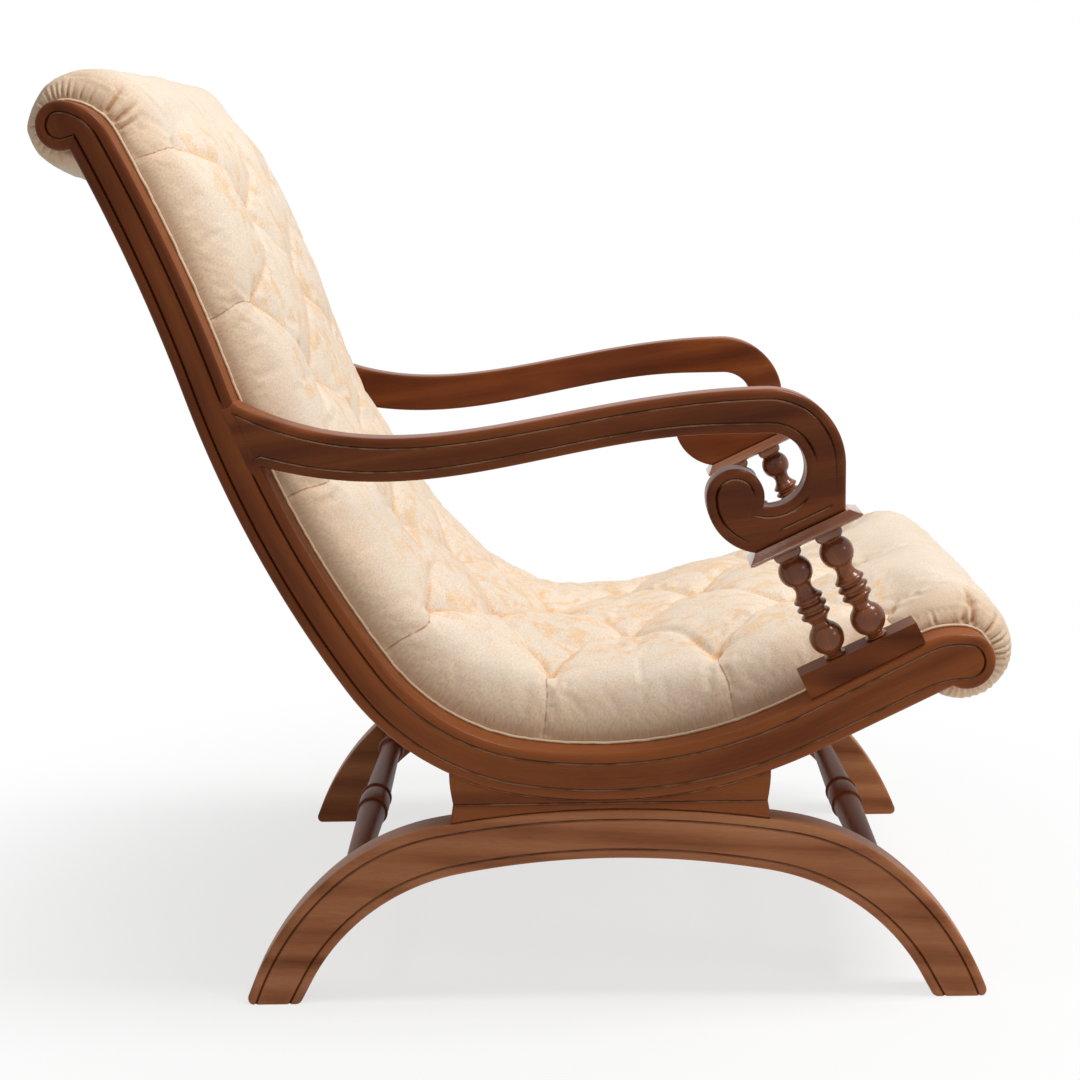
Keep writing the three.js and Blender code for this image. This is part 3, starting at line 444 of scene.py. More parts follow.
def arch_edge(height, curve, side):
    pieces = [(-side * radius, sweep) for radius, sweep in curve]
    track = make_track((ARCH_Y, height), 0.0 if side > 0 else math.pi, pieces)
    points = [walk(track, d)[0] for d in np.linspace(0, track[1], int(track[1] / 4) + 1)]
    last, angle = walk(track, track[1])
    return points + [last + toward(angle) * ((last[1] + FOOT_SPARE) / -math.sin(angle))]


def slice_off(bm, parts, at, facing):
    """Cuts away what lies beyond a plane and closes the cut."""
    cut = bmesh.ops.bisect_plane(
        bm, geom=parts, plane_co=at, plane_no=facing, clear_outer=True, dist=1e-7)
    rim = [item for item in cut["geom_cut"] if isinstance(item, bmesh.types.BMEdge)]
    bmesh.ops.edgeloop_fill(bm, edges=rim)


def cut_at_floor(obj):
    """Ends the arch at the floor, with a few planes that round each foot's two corners."""
    bm = bmesh.new()
    bm.from_mesh(obj.data)
    slice_off(bm, bm.verts[:] + bm.edges[:] + bm.faces[:], (0, 0, 0), (0, 0, -1))
    arch_middle = (SHIFT + ARCH_Y) * MM
    for side in (-1, 1):
        near = sorted(v.co.y for v in bm.verts if v.co.z < 1e-6 and (v.co.y - arch_middle) * side > 0)
        for corner, out in ((near[0], -1), (near[-1], 1)):
            turn = rad(INNER_FOOT if out != side else OUTER_FOOT)
            middle = Vector((0, corner - out * FOOT_ROUND * math.tan(turn / 2), FOOT_ROUND))
            for share in FOOT_CUTS:
                facing = Vector((0, out * math.sin(turn * share), -math.cos(turn * share)))
                close = [f for f in bm.faces if all(
                    abs(v.co.y - corner) < FOOT_REACH and v.co.z < FOOT_REACH for v in f.verts)]
                edges = list(dict.fromkeys(e for f in close for e in f.edges))
                corners = list(dict.fromkeys(v for f in close for v in f.verts))
                slice_off(bm, edges + corners + close, middle + facing * FOOT_ROUND, facing)
    bmesh.ops.recalc_face_normals(bm, faces=bm.faces)
    bm.to_mesh(obj.data)
    bm.free()
    shade(obj, SHARP)


outer = arch_edge(ARCH_TOP, ARCH_OUTER, -1)[1:][::-1] + arch_edge(ARCH_TOP, ARCH_OUTER, 1)
inner = [arch_edge(ARCH_TOP - ARCH_BAND, ARCH_INNER, side) for side in (1, -1)]
arch_loop = np.array(outer + inner[0][1:][::-1] + inner[1])
arch_section = moulding(RAIL_IN, RAIL_OUT, ARCH_BORDER)
for obj in board("arch", arch_loop, arch_section, straight_grain(degrees=3)):
    cut_at_floor(obj)

# Arms: their places are set from the foot of the support, along and across its lean

SUPPORT_S, TILT = -300.0, 25.0
AHEAD, ABOVE = toward(math.pi - rad(TILT)), toward(math.pi / 2 - rad(TILT))
FOOT = over(SUPPORT_S, 0)
BLOCK_HEIGHT, SPINDLE_HEIGHT, PAD_HEIGHT, CAP_HEIGHT = 25.5, 113.0, 10.4, 12.4
SPINDLE_BASE = BLOCK_HEIGHT + GAP
CAP_BASE = SPINDLE_BASE + SPINDLE_HEIGHT + GAP
ARM_BASE = CAP_BASE + PAD_HEIGHT + CAP_HEIGHT + GAP
ARM_IN = RAIL_IN + 4.5 + 2 * GAP
ARM_MID, ARM_THICK = (ARM_IN + RAIL_OUT) / 2, RAIL_OUT - ARM_IN
BEND_OUTER, BEND_INNER = 78.0, 37.5
VOLUTE, TAIL = 29.5, 57.7
HOUSING = 16.0
SPINDLE_AHEAD = 23.0
OUTER_CENTRE, INNER_CENTRE, VOLUTE_CENTRE = (-2.6, 74.3), (-3.4, 70.3), (-45.8, 59.7)
TOP_FALL, TOP_PULLS = rad(28.5), (190.0, 210.0)
LOW_RISE, LOW_PULLS, LOW_STRAIGHT = rad(16.5), (165.0, 180.0), 45.0
LEVEL, UPRIGHT = np.array([1.0, 0.0]), np.array([0.0, 1.0])


def in_support(ahead, above):
    return FOOT + AHEAD * ahead + ABOVE * above


def arc(centre, radius, start, end, step=1.8):
    count = max(2, int(abs(end - start) * radius / step))
    return [centre + toward(a) * radius for a in np.linspace(start, end, count + 1)]


def bezier(p0, p1, p2, p3, count=90):
    t = np.linspace(0, 1, count + 1)[:, None]
    return list((1 - t) ** 3 * p0 + 3 * (1 - t) ** 2 * t * p1 + 3 * (1 - t) * t ** 2 * p2 + t ** 3 * p3)


def angle_of(v):
    return math.atan2(v[1], v[0]) % (2 * math.pi)


def arm_stretches():
    """The arm's outline in stretches, each with its carved line's strength at shares of its run."""
    outer_c, inner_c, volute_c = [
        in_support(ahead, ARM_BASE + above)
        for ahead, above in (OUTER_CENTRE, INNER_CENTRE, VOLUTE_CENTRE)]
    root_top, root_low = over(ROOT_TOP, 0), over(ROOT_LOW, 0)
    top_end = outer_c + UPRIGHT * BEND_OUTER
    fall = toward(math.pi + TOP_FALL)
    top = bezier(root_top, root_top + fall * TOP_PULLS[0], top_end + LEVEL * TOP_PULLS[1], top_end)
    outer_bend = arc(outer_c, BEND_OUTER, math.pi / 2, math.pi)
    front_top = outer_bend[-1]
    front_foot = front_top - UPRIGHT * (float((front_top - in_support(0, ARM_BASE)) @ ABOVE) / ABOVE[1])
    front = [front_top + (front_foot - front_top) * t for t in np.linspace(0, 1, 12)[1:]]
    tail_c = volute_c + LEVEL * (VOLUTE - TAIL)
    rise = float((tail_c - in_support(0, ARM_BASE)) @ ABOVE)
    tail_foot = tail_c - ABOVE * rise - AHEAD * math.sqrt(TAIL ** 2 - rise ** 2)
    foot = [front_foot + (tail_foot - front_foot) * t for t in np.linspace(0, 1, 40)[1:]]
    tail = arc(tail_c, TAIL, angle_of(tail_foot - tail_c) - 2 * math.pi, 0)
    apart = volute_c - inner_c
    dist = float(np.linalg.norm(apart))
    share = (dist ** 2 + BEND_INNER ** 2 - VOLUTE ** 2) / (2 * dist)
    throat_angle = angle_of(apart) - math.acos(share / BEND_INNER)
    throat = inner_c + toward(throat_angle) * BEND_INNER
    volute = arc(volute_c, VOLUTE, 0, angle_of(throat - volute_c), 1.3)
    inside = arc(inner_c, BEND_INNER, throat_angle, math.pi / 2, 1.5)
    start = inner_c + UPRIGHT * BEND_INNER + LEVEL * LOW_STRAIGHT
    rising = toward(math.pi + LOW_RISE)
    low = bezier(start, start + LEVEL * LOW_PULLS[0], root_low + rising * LOW_PULLS[1], root_low)
    return [
        ([over(ROOT_TOP, -HOUSING)], [(0, 0)]),
        (top, [(0, 1), (1, 1)]),
        (outer_bend[1:], [(0, 1), (0.5, 1), (1, 0.35)]),
        (front, [(0, 0.35), (0.5, 0)]),
        (foot, [(0.06, 0), (0.1, 0.9), (0.6, 0.9), (0.68, 0)]),
        (tail[1:], [(0.05, 0), (0.22, 1), (1, 1)]),
        (volute[1:], [(0, 1), (0.7, 1), (0.92, 0)]),
        (inside[1:], [(0, 1), (0.27, 1), (0.36, 0), (0.55, 0), (0.68, 1), (1, 1)]),
        (low, [(0, 1), (1, 1)]),
        ([over(ROOT_LOW, -HOUSING)], [(0, 0)])]


arm_points, arm_strength = [], []
for stretch, keys in arm_stretches():
    places, values = zip(*keys)
    arm_points += stretch
    arm_strength += list(np.interp(np.linspace(0, 1, len(stretch)), places, values))
board("scroll_arm", np.array(arm_points), moulding(ARM_IN, RAIL_OUT, ARM_BORDER),
      straight_grain(degrees=-8, offset=900), np.array(arm_strength))

# Turned work

def smooth_profile(keys, per=5):
    """Catmull-Rom through (radius, height) keys; a key with a third value is a sharp corner."""
    runs, run = [], []
    for key in keys:
        run.append(np.array(key[:2], float))
        if len(key) > 2:
            runs.append(run)
            run = [np.array(key[:2], float)]
    points = []
    for keys_of_run in [item for item in runs + [run] if len(item) > 1]:
        ends = [2 * keys_of_run[0] - keys_of_run[1], *keys_of_run,
                2 * keys_of_run[-1] - keys_of_run[-2]]
        for p0, p1, p2, p3 in zip(ends, ends[1:], ends[2:], ends[3:]):
            for t in np.linspace(0, 1, per + 1)[:-1]:
                curve = 2 * p1 + (p2 - p0) * t + (2 * p0 - 5 * p1 + 4 * p2 - p3) * t ** 2
                points.append((curve + (3 * p1 - p0 - 3 * p2 + p3) * t ** 3) / 2)
        points.append(keys_of_run[-1])
    return [(max(0.0, p[0]), p[1]) for p in points]


def ball(radius, centre, start, end, steps=9):
    heights = radius * np.sin(np.linspace(math.asin(start / radius), math.asin(end / radius), steps))
    return [(math.sqrt(radius ** 2 - h ** 2), centre + h) for h in heights]


def lathe(profile, sides=64):
    """Points and faces of a turning about its own Z, closed at both ends."""
    angles = np.linspace(0, 2 * math.pi, sides, endpoint=False)
    points = [(r * math.cos(a), r * math.sin(a), h) for r, h in profile for a in angles]
    return np.array(points), skin(len(profile), sides)


SPINDLE = (
    [(10.6, 0), (11.2, 0.6), (11.2, 1.4), (10.4, 2.0, 1), (8.6, 2.9), (8.4, 4.0)]
    + ball(18, 21, -14.6, 14.4)
    + [(9.0, 38.2), (9.2, 40.2), (11.4, 43.2, 1), (12.4, 44.6), (14.9, 46.6), (15.7, 48.3), (15.0, 50.0),
       (12.4, 51.9, 1), (12.3, 53.9, 1), (15.2, 56.0), (16.1, 57.8), (15.2, 59.6), (12.3, 61.5, 1),
       (12.3, 63.2, 1), (14.7, 64.8), (15.6, 66.2), (15.2, 67.8), (13.2, 69.8, 1), (10.6, 73.4),
       (9.3, 77.4), (9.6, 81.0)]
    + ball(17.6, 98, -13.6, 12.8)
    + [(11.2, 111.9, 1), (11.4, 112.4), (11.2, 113.0, 1)])

for name, ahead, phase in (("front", SPINDLE_AHEAD, 0.0), ("rear", -SPINDLE_AHEAD, 180.0)):
    local, faces = lathe(smooth_profile(SPINDLE))
    lean = toward(-rad(TILT))
    flat = [in_support(ahead, SPINDLE_BASE + z) + lean * y for _, y, z in local]
    placed = np.column_stack([ARM_MID + local[:, 0], flat])
    grain = np.column_stack([local[:, 2] + phase, local[:, 1], local[:, 0] + 40]) * MM
    pair(f"turned_spindle_{name}", placed, faces, TURNED_SHARP, grain)

STRETCHER_HALF = 271.7
STRETCHER = [
    (18.2, 0), (18.0, 8.0), (16.9, 19.0), (15.6, 21.0, 1), (15.2, 22.5, 1), (17.8, 24.5),
    (18.6, 26.5), (17.6, 28.6), (15.4, 30.4, 1), (15.2, 32.0, 1), (15.9, 34.0), (15.2, 70.0),
    (14.0, 130.0), (12.8, 190.0), (12.5, 214.0), (13.2, 219.0, 1), (15.8, 221.0), (17.0, 224.5),
    (17.0, 227.5), (15.8, 231.0), (13.4, 233.0, 1), (12.9, 236.0), (14.2, 250.0), (15.4, 262.0),
    (15.6, STRETCHER_HALF, 1)]
STRETCHER_HEIGHT, STRETCHER_SPREAD = 116.0, 283.0
half = smooth_profile(STRETCHER)
for name, side in (("rear", 1), ("front", -1)):
    local, faces = lathe([(r, -x) for r, x in half[::-1]] + half[1:])
    y = ARCH_Y + side * STRETCHER_SPREAD
    placed = np.column_stack([local[:, 2], y + local[:, 0], STRETCHER_HEIGHT + local[:, 1]])
    grain = np.column_stack([local[:, 2] + y, local[:, 1], local[:, 0] + 55]) * MM
    add_mesh(f"turned_stretcher_{name}", placed, faces, TURNED_SHARP,
             grain=grain, recess=np.zeros(len(placed)))

# Moulded cap under the arm, with a rounded pad over each spindle

def squared(length, width, profile, corner, turns=5):
    """Points and faces of a block whose sides follow (outset, height), with rounded corners."""
    points = []
    for outset, height in profile:
        a, b = length / 2 + outset, width / 2 + outset
        round_off = min(corner, a, b)
        for quarter in range(4):
            side_x, side_y = (1, 1, -1, -1)[quarter], (-1, 1, 1, -1)[quarter]
            start = quarter * math.pi / 2 - math.pi / 2
            for angle in np.linspace(start, start + math.pi / 2, turns):
                points.append((side_x * (b - round_off) + round_off * math.cos(angle),
                               side_y * (a - round_off) + round_off * math.sin(angle), height))
    return np.array(points), skin(len(profile), 4 * turns)


lip = PAD_HEIGHT + CAP_HEIGHT * 0.2
CAP = [(2.0, PAD_HEIGHT), (4.0, PAD_HEIGHT + 0.3), (7.2, PAD_HEIGHT + 1.2), (9.0, lip), (9.8, lip + 0.5),
       (10.1, lip + 1.2), (9.9, lip + 2.0), (9.2, lip + 2.7), (6.4, lip + 4.6), (3.2, lip + 7.2),
       (1.0, lip + 9.2), (0.0, PAD_HEIGHT + CAP_HEIGHT)]
PAD = [(-4.4, 0.0), (-3.0, 0.3), (-1.4, 1.6), (-0.3, 3.6), (0.3, 6.0), (0.3, 8.2), (-0.4, 10.0),
       (-1.6, PAD_HEIGHT + 0.6)]
CAP_LENGTH, PAD_LENGTH, PAD_WIDTH = 104.0, 29.0, ARM_THICK * 0.86
points, faces, grain = [], [], []
for length, width, profile, corner, ahead in (
        (CAP_LENGTH, ARM_THICK, CAP, 1.2, 0.0),
        (PAD_LENGTH, PAD_WIDTH, PAD, 5.5, SPINDLE_AHEAD),
        (PAD_LENGTH, PAD_WIDTH, PAD, 5.5, -SPINDLE_AHEAD)):
    local, local_faces = squared(length, width, profile, corner)
    faces += [tuple(len(points) + i for i in face) for face in local_faces]
    for x, y, z in local:
        points.append((ARM_MID + x, *in_support(ahead - y, CAP_BASE + z)))
        grain.append((y * MM, x * MM, z * MM))
pair("arm_cap", points, faces, CAP_SHARP, grain)

# Upholstery: a padded cover from behind the head scroll, over the back and the seat,
# to the underside of the knee scroll. Marks are stations in the run, and beyond its ends
# degrees round a scroll.

HALF_SEAT = 271.4
TUFT_ROWS = [852, 680, 480, 284, 64, -152, -352]
TUFT_COLUMN = 102.0
OUTER_TUFT = 2 * TUFT_COLUMN
CROWN = [(-364, 34), (-300, 49), (-230, 79), (-150, 93), (-60, 90), (60, 90), (150, 96), (240, 95),
         (320, 85), (380, 80), (560, 68), (800, 70), (850, 64), (880, 45)]
TUCKED = [(46, 3.0), (38, 4.5), (28, 6.5), (18, 9.0), (8, 12.5)]    # behind the head roll
HEAD_WRAP = dict(thin=27, ease_end=130, end=243, last=14)
KNEE_WRAP = dict(thin=35, ease_end=200, end=232, last=30)
WRAP_SPARE, KNEE_TUCK = 6, 14.0         # degrees past a roll's end, and the padding there
SIDE_ROUND, ROLL_ROUND = 3.2, 12.0      # powers of the section's curve: soft and full sides
ROUNDING_TURN, TAPER_TURN = 40, 65
ROLL_STEP, RUN_STEP = 3.6, 5.4
EDGE = 2.6
START_SLACK = 5.0
COLUMNS = 129


def crown_at(s):
    """Height of the padding over the rail, on a smooth curve through the keys."""
    at, height = np.array(CROWN, float).T
    index, last = np.arange(len(at)), len(at) - 1
    ahead, behind = np.minimum(index + 1, last), np.maximum(index - 1, 0)
    slope = (height[ahead] - height[behind]) / (at[ahead] - at[behind])
    i = int(np.clip(np.searchsorted(at, s, "right") - 1, 0, last - 1))
    run = at[i + 1] - at[i]
    t = min(1.0, max(0.0, (s - at[i]) / run))
    eased = t * t * (3 - 2 * t)
    bend = run * (t * (1 - t) ** 2 * slope[i] - t * t * (1 - t) * slope[i + 1])
    return height[i] + (height[i + 1] - height[i]) * eased + bend


def wrap_places(curl, crown, to_mark, thin, ease_end, end, last):
    """Places round a scroll: base point, normal, thickness, roundness of the sides and mark."""
    places = []
    for degrees in np.linspace(0, end, 91)[1:]:
        a = rad(degrees)
        fall = (1 + math.cos(math.pi * min(1, degrees / ease_end))) / 2
        roundness = SIDE_ROUND + (ROLL_ROUND - SIDE_ROUND) * min(1, degrees / ROUNDING_TURN)
        height = thin + (crown - thin) * fall
        height -= (thin - last) * float(smoothstep(degrees, end - TAPER_TURN, end))
        places.append((curl.point(a), curl.normal(a), height, roundness, to_mark(degrees)))
    return places


def cover_places():
    places = []
    head_last, knee_last = HEAD_END + HEAD_WRAP["end"] + WRAP_SPARE, KNEE_WRAP["end"] + WRAP_SPARE
    for back, thick in TUCKED:
        s = HEAD_END - back
        places.append((under(s, 0), -rail_at(s)[2], thick, ROLL_ROUND, head_last + back))
    places += wrap_places(HEAD_CURL, crown_at(HEAD_END), lambda d: HEAD_END + d, **HEAD_WRAP)[::-1]
    for s in np.linspace(HEAD_END, KNEE_END, 400):
        places.append((over(s, 0), rail_at(s)[2], crown_at(s), SIDE_ROUND, s))
    places += wrap_places(KNEE_CURL, crown_at(KNEE_END), lambda d: KNEE_END - d, **KNEE_WRAP)
    point, facing = KNEE_CURL.point(rad(knee_last)), KNEE_CURL.normal(rad(knee_last))
    places.append((point, facing, KNEE_TUCK, ROLL_ROUND, KNEE_END - knee_last))
    return [np.array(column) for column in zip(*places)]


LENGTH_HEIGHT = 0.8     # share of the padding's height at which the cover's length is measured
base, normal, thick, roundness, mark = cover_places()
along = base + normal * (thick * LENGTH_HEIGHT)[:, None]
length = np.concatenate([[0], np.cumsum(np.linalg.norm(np.diff(along, axis=0), axis=1))])


def length_at(value):
    return np.interp(-np.asarray(value, float), -mark, length)


def resample(values, at, passes):
    """Values along the cover at new lengths, evened out by a few passes."""
    values = values.reshape(len(values), -1)
    out = np.column_stack([np.interp(at, length, column) for column in values.T])
    for _ in range(passes):
        out[1:-1] = (out[:-2] + 2 * out[1:-1] + out[2:]) / 4
    return out


head_run, knee_run = length_at(HEAD_END - 10), length_at(KNEE_END + 30)
T = np.concatenate([
    np.linspace(0, head_run, int(head_run / ROLL_STEP), endpoint=False),
    np.linspace(head_run, knee_run, int((knee_run - head_run) / RUN_STEP), endpoint=False),
    np.linspace(knee_run, length[-1], int((length[-1] - knee_run) / ROLL_STEP))])
ROWS = len(T)
BASE = resample(base, T, 3)
NORMAL = unit(resample(normal, T, 8))
THICK = resample(thick, T, 8)[:, 0]
ROUND = resample(roundness, T, 8)[:, 0]
IN_RUN = smoothstep(T, head_run - 20, head_run + 20) * (1 - smoothstep(T, knee_run - 10, knee_run + 30))


def cross_section(thickness, power):
    """Places across the seat, evenly spaced over the padding, as (x, rise)."""
    x = np.sin(np.linspace(0, math.pi / 2, 400))
    rise = np.sqrt(1 - x ** power)
    step = np.hypot(np.diff(x) * HALF_SEAT, np.diff(rise) * thickness)
    run = np.concatenate([[0], np.cumsum(step)])
    half = np.interp(np.linspace(0, run[-1], COLUMNS // 2 + 1), run, x)
    both = np.concatenate([-half[::-1], half[1:]])
    return both * HALF_SEAT, np.sqrt(np.clip(1 - np.abs(both) ** power, 0, 1))


sections = [cross_section(THICK[r], ROUND[r]) for r in range(ROWS)]
X = np.array([x for x, _ in sections])
RISE = np.array([rise for _, rise in sections])
TT = np.repeat(T[:, None], COLUMNS, 1)

# Tufts lie on a diamond lattice, and a fold runs between each two neighbours
ROW_T = length_at(TUFT_ROWS)
LAST_ROW = len(TUFT_ROWS) - 1


def tuft_at(row, column):
    return float(np.interp(row, range(LAST_ROW + 1), ROW_T)), column * TUFT_COLUMN


TUFTS = [tuft_at(row + (0.5 if column % 2 else 0), column)
         for column in range(-2, 3) for row in range(LAST_ROW + (0 if column % 2 else 1))]
FOLD_BOWS, SIDE_BOW, SIDE_WEIGHT = (9.0, -7.0), 12.0, 0.62
FOLDS = []
for column in range(-2, 2):
    for half_row in range(2 * LAST_ROW + 1):
        for step in (-1, 1):
            ahead = half_row + step
            if (half_row + column) % 2 == 0 and 0 <= ahead <= 2 * LAST_ROW:
                bow = FOLD_BOWS[0 if (half_row + column + (step > 0)) % 4 < 2 else 1]
                FOLDS.append((tuft_at(half_row / 2, column), tuft_at(ahead / 2, column + 1), bow, 1.0))
for column in (-2, 2):
    for row in range(LAST_ROW):
        bow = SIDE_BOW if column < 0 else -SIDE_BOW
        FOLDS.append((tuft_at(row, column), tuft_at(row + 1, column), bow, SIDE_WEIGHT))


FOLD_FAINT, FOLD_REACH = 0.3, (46, 34)
SEAM_BOWS = 4.0, -3.0, 6.0, 5.0, -4.0, 3.0, -6.0


def tuft_distance(t, x):
    return np.min([np.hypot(t - at_t, x - at_x) for at_t, at_x in TUFTS], axis=0)


def fold_fields(t, x):
    """Strength and signed distance of the nearest fold, strong close to the tufts."""
    best, near, side = np.zeros(t.shape), np.full(t.shape, 1e3), np.zeros(t.shape)
    for (t0, x0), (t1, x1), bow, weight in FOLDS:
        run = math.hypot(t1 - t0, x1 - x0)
        ut, ux = (t1 - t0) / run, (x1 - x0) / run
        at = ((t - t0) * ut + (x - x0) * ux) / run
        bent = bow * np.sin(math.pi * np.clip(at, 0, 1)) * np.sin(math.pi * at)
        away = (t - t0) * ux - (x - x0) * ut - bent
        inside = (at > -0.02) & (at < 1.02)
        close = np.maximum(bell(at * run, FOLD_REACH[0]), bell((1 - at) * run, FOLD_REACH[1]))
        strength = weight * (FOLD_FAINT + (1 - FOLD_FAINT) * close)
        closer = inside & (np.abs(away) < near)
        best, near = np.where(closer, strength, best), np.where(closer, np.abs(away), near)
        side = np.where(closer, away, side)
    return best, near, side


def seam_distance(t, x):
    """Signed distance to the nearest seam between an outer tuft and the rail."""
    out = np.clip((np.abs(x) - OUTER_TUFT) / (HALF_SEAT - OUTER_TUFT), 0, 1)
    best = np.full(t.shape, 1e3)
    for row, (at_t, bow) in enumerate(zip(ROW_T, SEAM_BOWS)):
        away = t - at_t - bow * np.sin(math.pi * out) - 1.5 * np.sin(x / 9.0 + row)
        best = np.where(np.abs(away) < np.abs(best), away, best)
    return best


def rim_distance(points):
    """Distance over the cloth from the nearer rim."""
    step = np.linalg.norm(np.diff(points, axis=1), axis=2)
    run = np.concatenate([np.zeros((len(points), 1)), np.cumsum(step, axis=1)], axis=1)
    return np.minimum(run, run[:, -1:] - run)


INNER_SINK, RUN_SINK = 4.0, 9.0     # depth of the padding's inner face, and what the run adds


def closed_cover(name, top, base_line, normals, in_run, **attributes):
    """The padding as one closed skin: the shown grid and a plain inner face."""
    rows, columns = top.shape[:2]
    across = np.linspace(1, -1, 11)
    floor = base_line - normals * (INNER_SINK + RUN_SINK * in_run)[:, None]
    lower = np.stack([
        np.column_stack([np.full(rows, share * (HALF_SEAT - 0.2)), floor]) for share in across], 1)
    ring = columns + len(across)
    points = np.concatenate([top, lower], axis=1).reshape(-1, 3)
    full = {}
    for key, values in attributes.items():
        padding = np.zeros((rows, len(across)) + values.shape[2:])
        full[key] = np.concatenate([values, padding], axis=1).reshape(-1, *values.shape[2:])
    return add_mesh(name, points, skin(rows, ring, flipped=True), ALL_SMOOTH, **full), ring


def relax_with_cloth(obj, pins, frames=18, most=0.014):
    """Blows the cover up between its tufts with the cloth solver and keeps the result."""
    group = obj.vertex_groups.new(name="pins")
    for value in np.unique(pins[pins > 0]):
        group.add([int(i) for i in np.nonzero(pins == value)[0]], float(value), "REPLACE")
    before = np.empty(len(obj.data.vertices) * 3, np.float32)
    obj.data.vertices.foreach_get("co", before)
    cloth = obj.modifiers.new("cover", "CLOTH")
    settings = cloth.settings
    settings.quality = 5
    settings.mass = 0.25
    settings.tension_stiffness, settings.compression_stiffness, settings.shear_stiffness = 18, 12, 6
    settings.bending_stiffness = 0.35
    settings.tension_damping = settings.compression_damping = 8
    settings.use_pressure, settings.uniform_pressure_force = True, 4.0
    settings.vertex_group_mass = "pins"
    settings.shrink_min = -0.012
    settings.effector_weights.gravity = 0
    cloth.collision_settings.use_collision = False
    cloth.collision_settings.use_self_collision = False
    cloth.point_cache.frame_start, cloth.point_cache.frame_end = 1, frames
    for frame_number in range(1, frames + 1):
        bpy.context.scene.frame_set(frame_number)
    solved = obj.evaluated_get(bpy.context.evaluated_depsgraph_get())
    after = np.empty(len(before), np.float32)
    solved.to_mesh().vertices.foreach_get("co", after)
    solved.to_mesh_clear()
    obj.modifiers.remove(cloth)
    bpy.context.scene.frame_set(1)
    move = (after - before).reshape(-1, 3)
    move *= np.minimum(1, most / np.maximum(np.linalg.norm(move, axis=1), 1e-9))[:, None]
    return (before.reshape(-1, 3) + move) / MM - np.array([0, SHIFT, 0])


TUFT_PIT, TUFT_DIP, FOLD_DIP, SEAM_DIP, ROLL_SLACK = 8.5, 3.5, 4.6, 2.6, 0.3
tuft_near = tuft_distance(TT, X)
fold_strength, fold_near, _ = fold_fields(TT, X)
seam_near = np.abs(seam_distance(TT, X))
on_side = smoothstep(np.abs(X), OUTER_TUFT - 4, OUTER_TUFT + 14)
rim_ease = smoothstep(HALF_SEAT - np.abs(X), 1, 26)
drawn_in = TUFT_PIT * np.exp(-(tuft_near / 13) ** 1.4) + TUFT_DIP * bell(tuft_near, 44)
drawn_in += FOLD_DIP * fold_strength * bell(fold_near, 13)
drawn_in = np.maximum(drawn_in, SEAM_DIP * on_side * bell(seam_near, 12))
slack = START_SLACK * (ROLL_SLACK + (1 - ROLL_SLACK) * IN_RUN[:, None])
start = EDGE + (THICK[:, None] - EDGE) * RISE - drawn_in * rim_ease - slack * RISE
start = np.maximum(start, EDGE / 2)
SHOWN = np.concatenate([X[..., None], BASE[:, None] + NORMAL[:, None] * start[..., None]], axis=2)

TUFT_PINNED, FOLD_PINNED, SEAM_PINNED = 6, 3.2, 3
rough_cover, ring = closed_cover("cover_before_sewing", SHOWN, BASE, NORMAL, IN_RUN)
loose = smoothstep(HALF_SEAT - np.abs(X), 0, 14)
loose[tuft_near < TUFT_PINNED] = 0
loose[(fold_near < FOLD_PINNED) & (fold_strength > 0.6)] *= 0.5
loose[(seam_near < SEAM_PINNED) & (on_side > 0.5)] *= 0.6
loose[:3] = loose[-3:] = 0
pins = np.ones((ROWS, ring))
pins[:, :COLUMNS] = np.round(1 - loose, 2)
solved = relax_with_cloth(rough_cover, pins.ravel())
SHOWN = solved.reshape(ROWS, ring, 3)[:, :COLUMNS].astype(float)
bpy.data.objects.remove(rough_cover)


def doubled(values, axis):
    """Twice as many steps along an axis, on a smooth curve through the old ones."""
    values = np.moveaxis(values, axis, 0)
    ends = np.concatenate([2 * values[:1] - values[1:2], values, 2 * values[-1:] - values[-2:-1]])
    between = (9 * (ends[1:-2] + ends[2:-1]) - ends[:-3] - ends[3:]) / 16
    out = np.empty((2 * len(values) - 1,) + values.shape[1:])
    out[::2], out[1::2] = values, between
    return np.moveaxis(out, 0, axis)


SHOWN = doubled(doubled(SHOWN, 0), 1)
FINE_BASE, FINE_NORMAL, FINE_RUN = doubled(BASE, 0), unit(doubled(NORMAL, 0)), doubled(IN_RUN, 0)
TT, FX = doubled(doubled(TT, 0), 1), doubled(doubled(X, 0), 1)
OUTWARD = unit(np.cross(np.gradient(SHOWN, axis=0), np.gradient(SHOWN, axis=1)))
if (OUTWARD[..., 1:] * FINE_NORMAL[:, None]).sum() < 0:
    OUTWARD = -OUTWARD
RIM = rim_distance(SHOWN)


def noise_field(across, down, seed, octaves=3):
    """Fractal noise over the cloth, for sizes of detail in millimetres."""
    rows, columns = TT.shape
    spots = zip((FX / across).ravel().tolist(), (TT / down).ravel().tolist())
    values = [noise.fractal((x, t, seed), 1.0, 2.0, octaves) for x, t in spots]
    return np.array(values).reshape(rows, columns)


# Pleats at both rolls: degrees round the roll, reach from the rim, depth, width and slant
HEAD_PLEATS = [(degrees, 24, 2.4, 1.4, 0.0)
               for degrees in [*np.arange(38, 104, 8.5), *np.arange(112, 236, 13)]]
HEAD_PLEATS += [(22, 62, 5.8, 3.0, 0.16), (10, 56, 5.2, 2.7, 0.12), (1, 44, 3.6, 2.3, 0.08)]
KNEE_PLEATS = [(degrees, 38, 2.8, 1.5, 0.0) for degrees in np.arange(92, 226, 8.6)]
KNEE_PLEATS += [(33, 46, 5.6, 3.0, -0.2), (46, 58, 6.4, 3.2, 0.12), (74, 56, 5.2, 2.6, 0.0),
                (60, 26, 2.6, 1.8, 0.1), (14, 20, 2.0, 1.7, 0.0)]


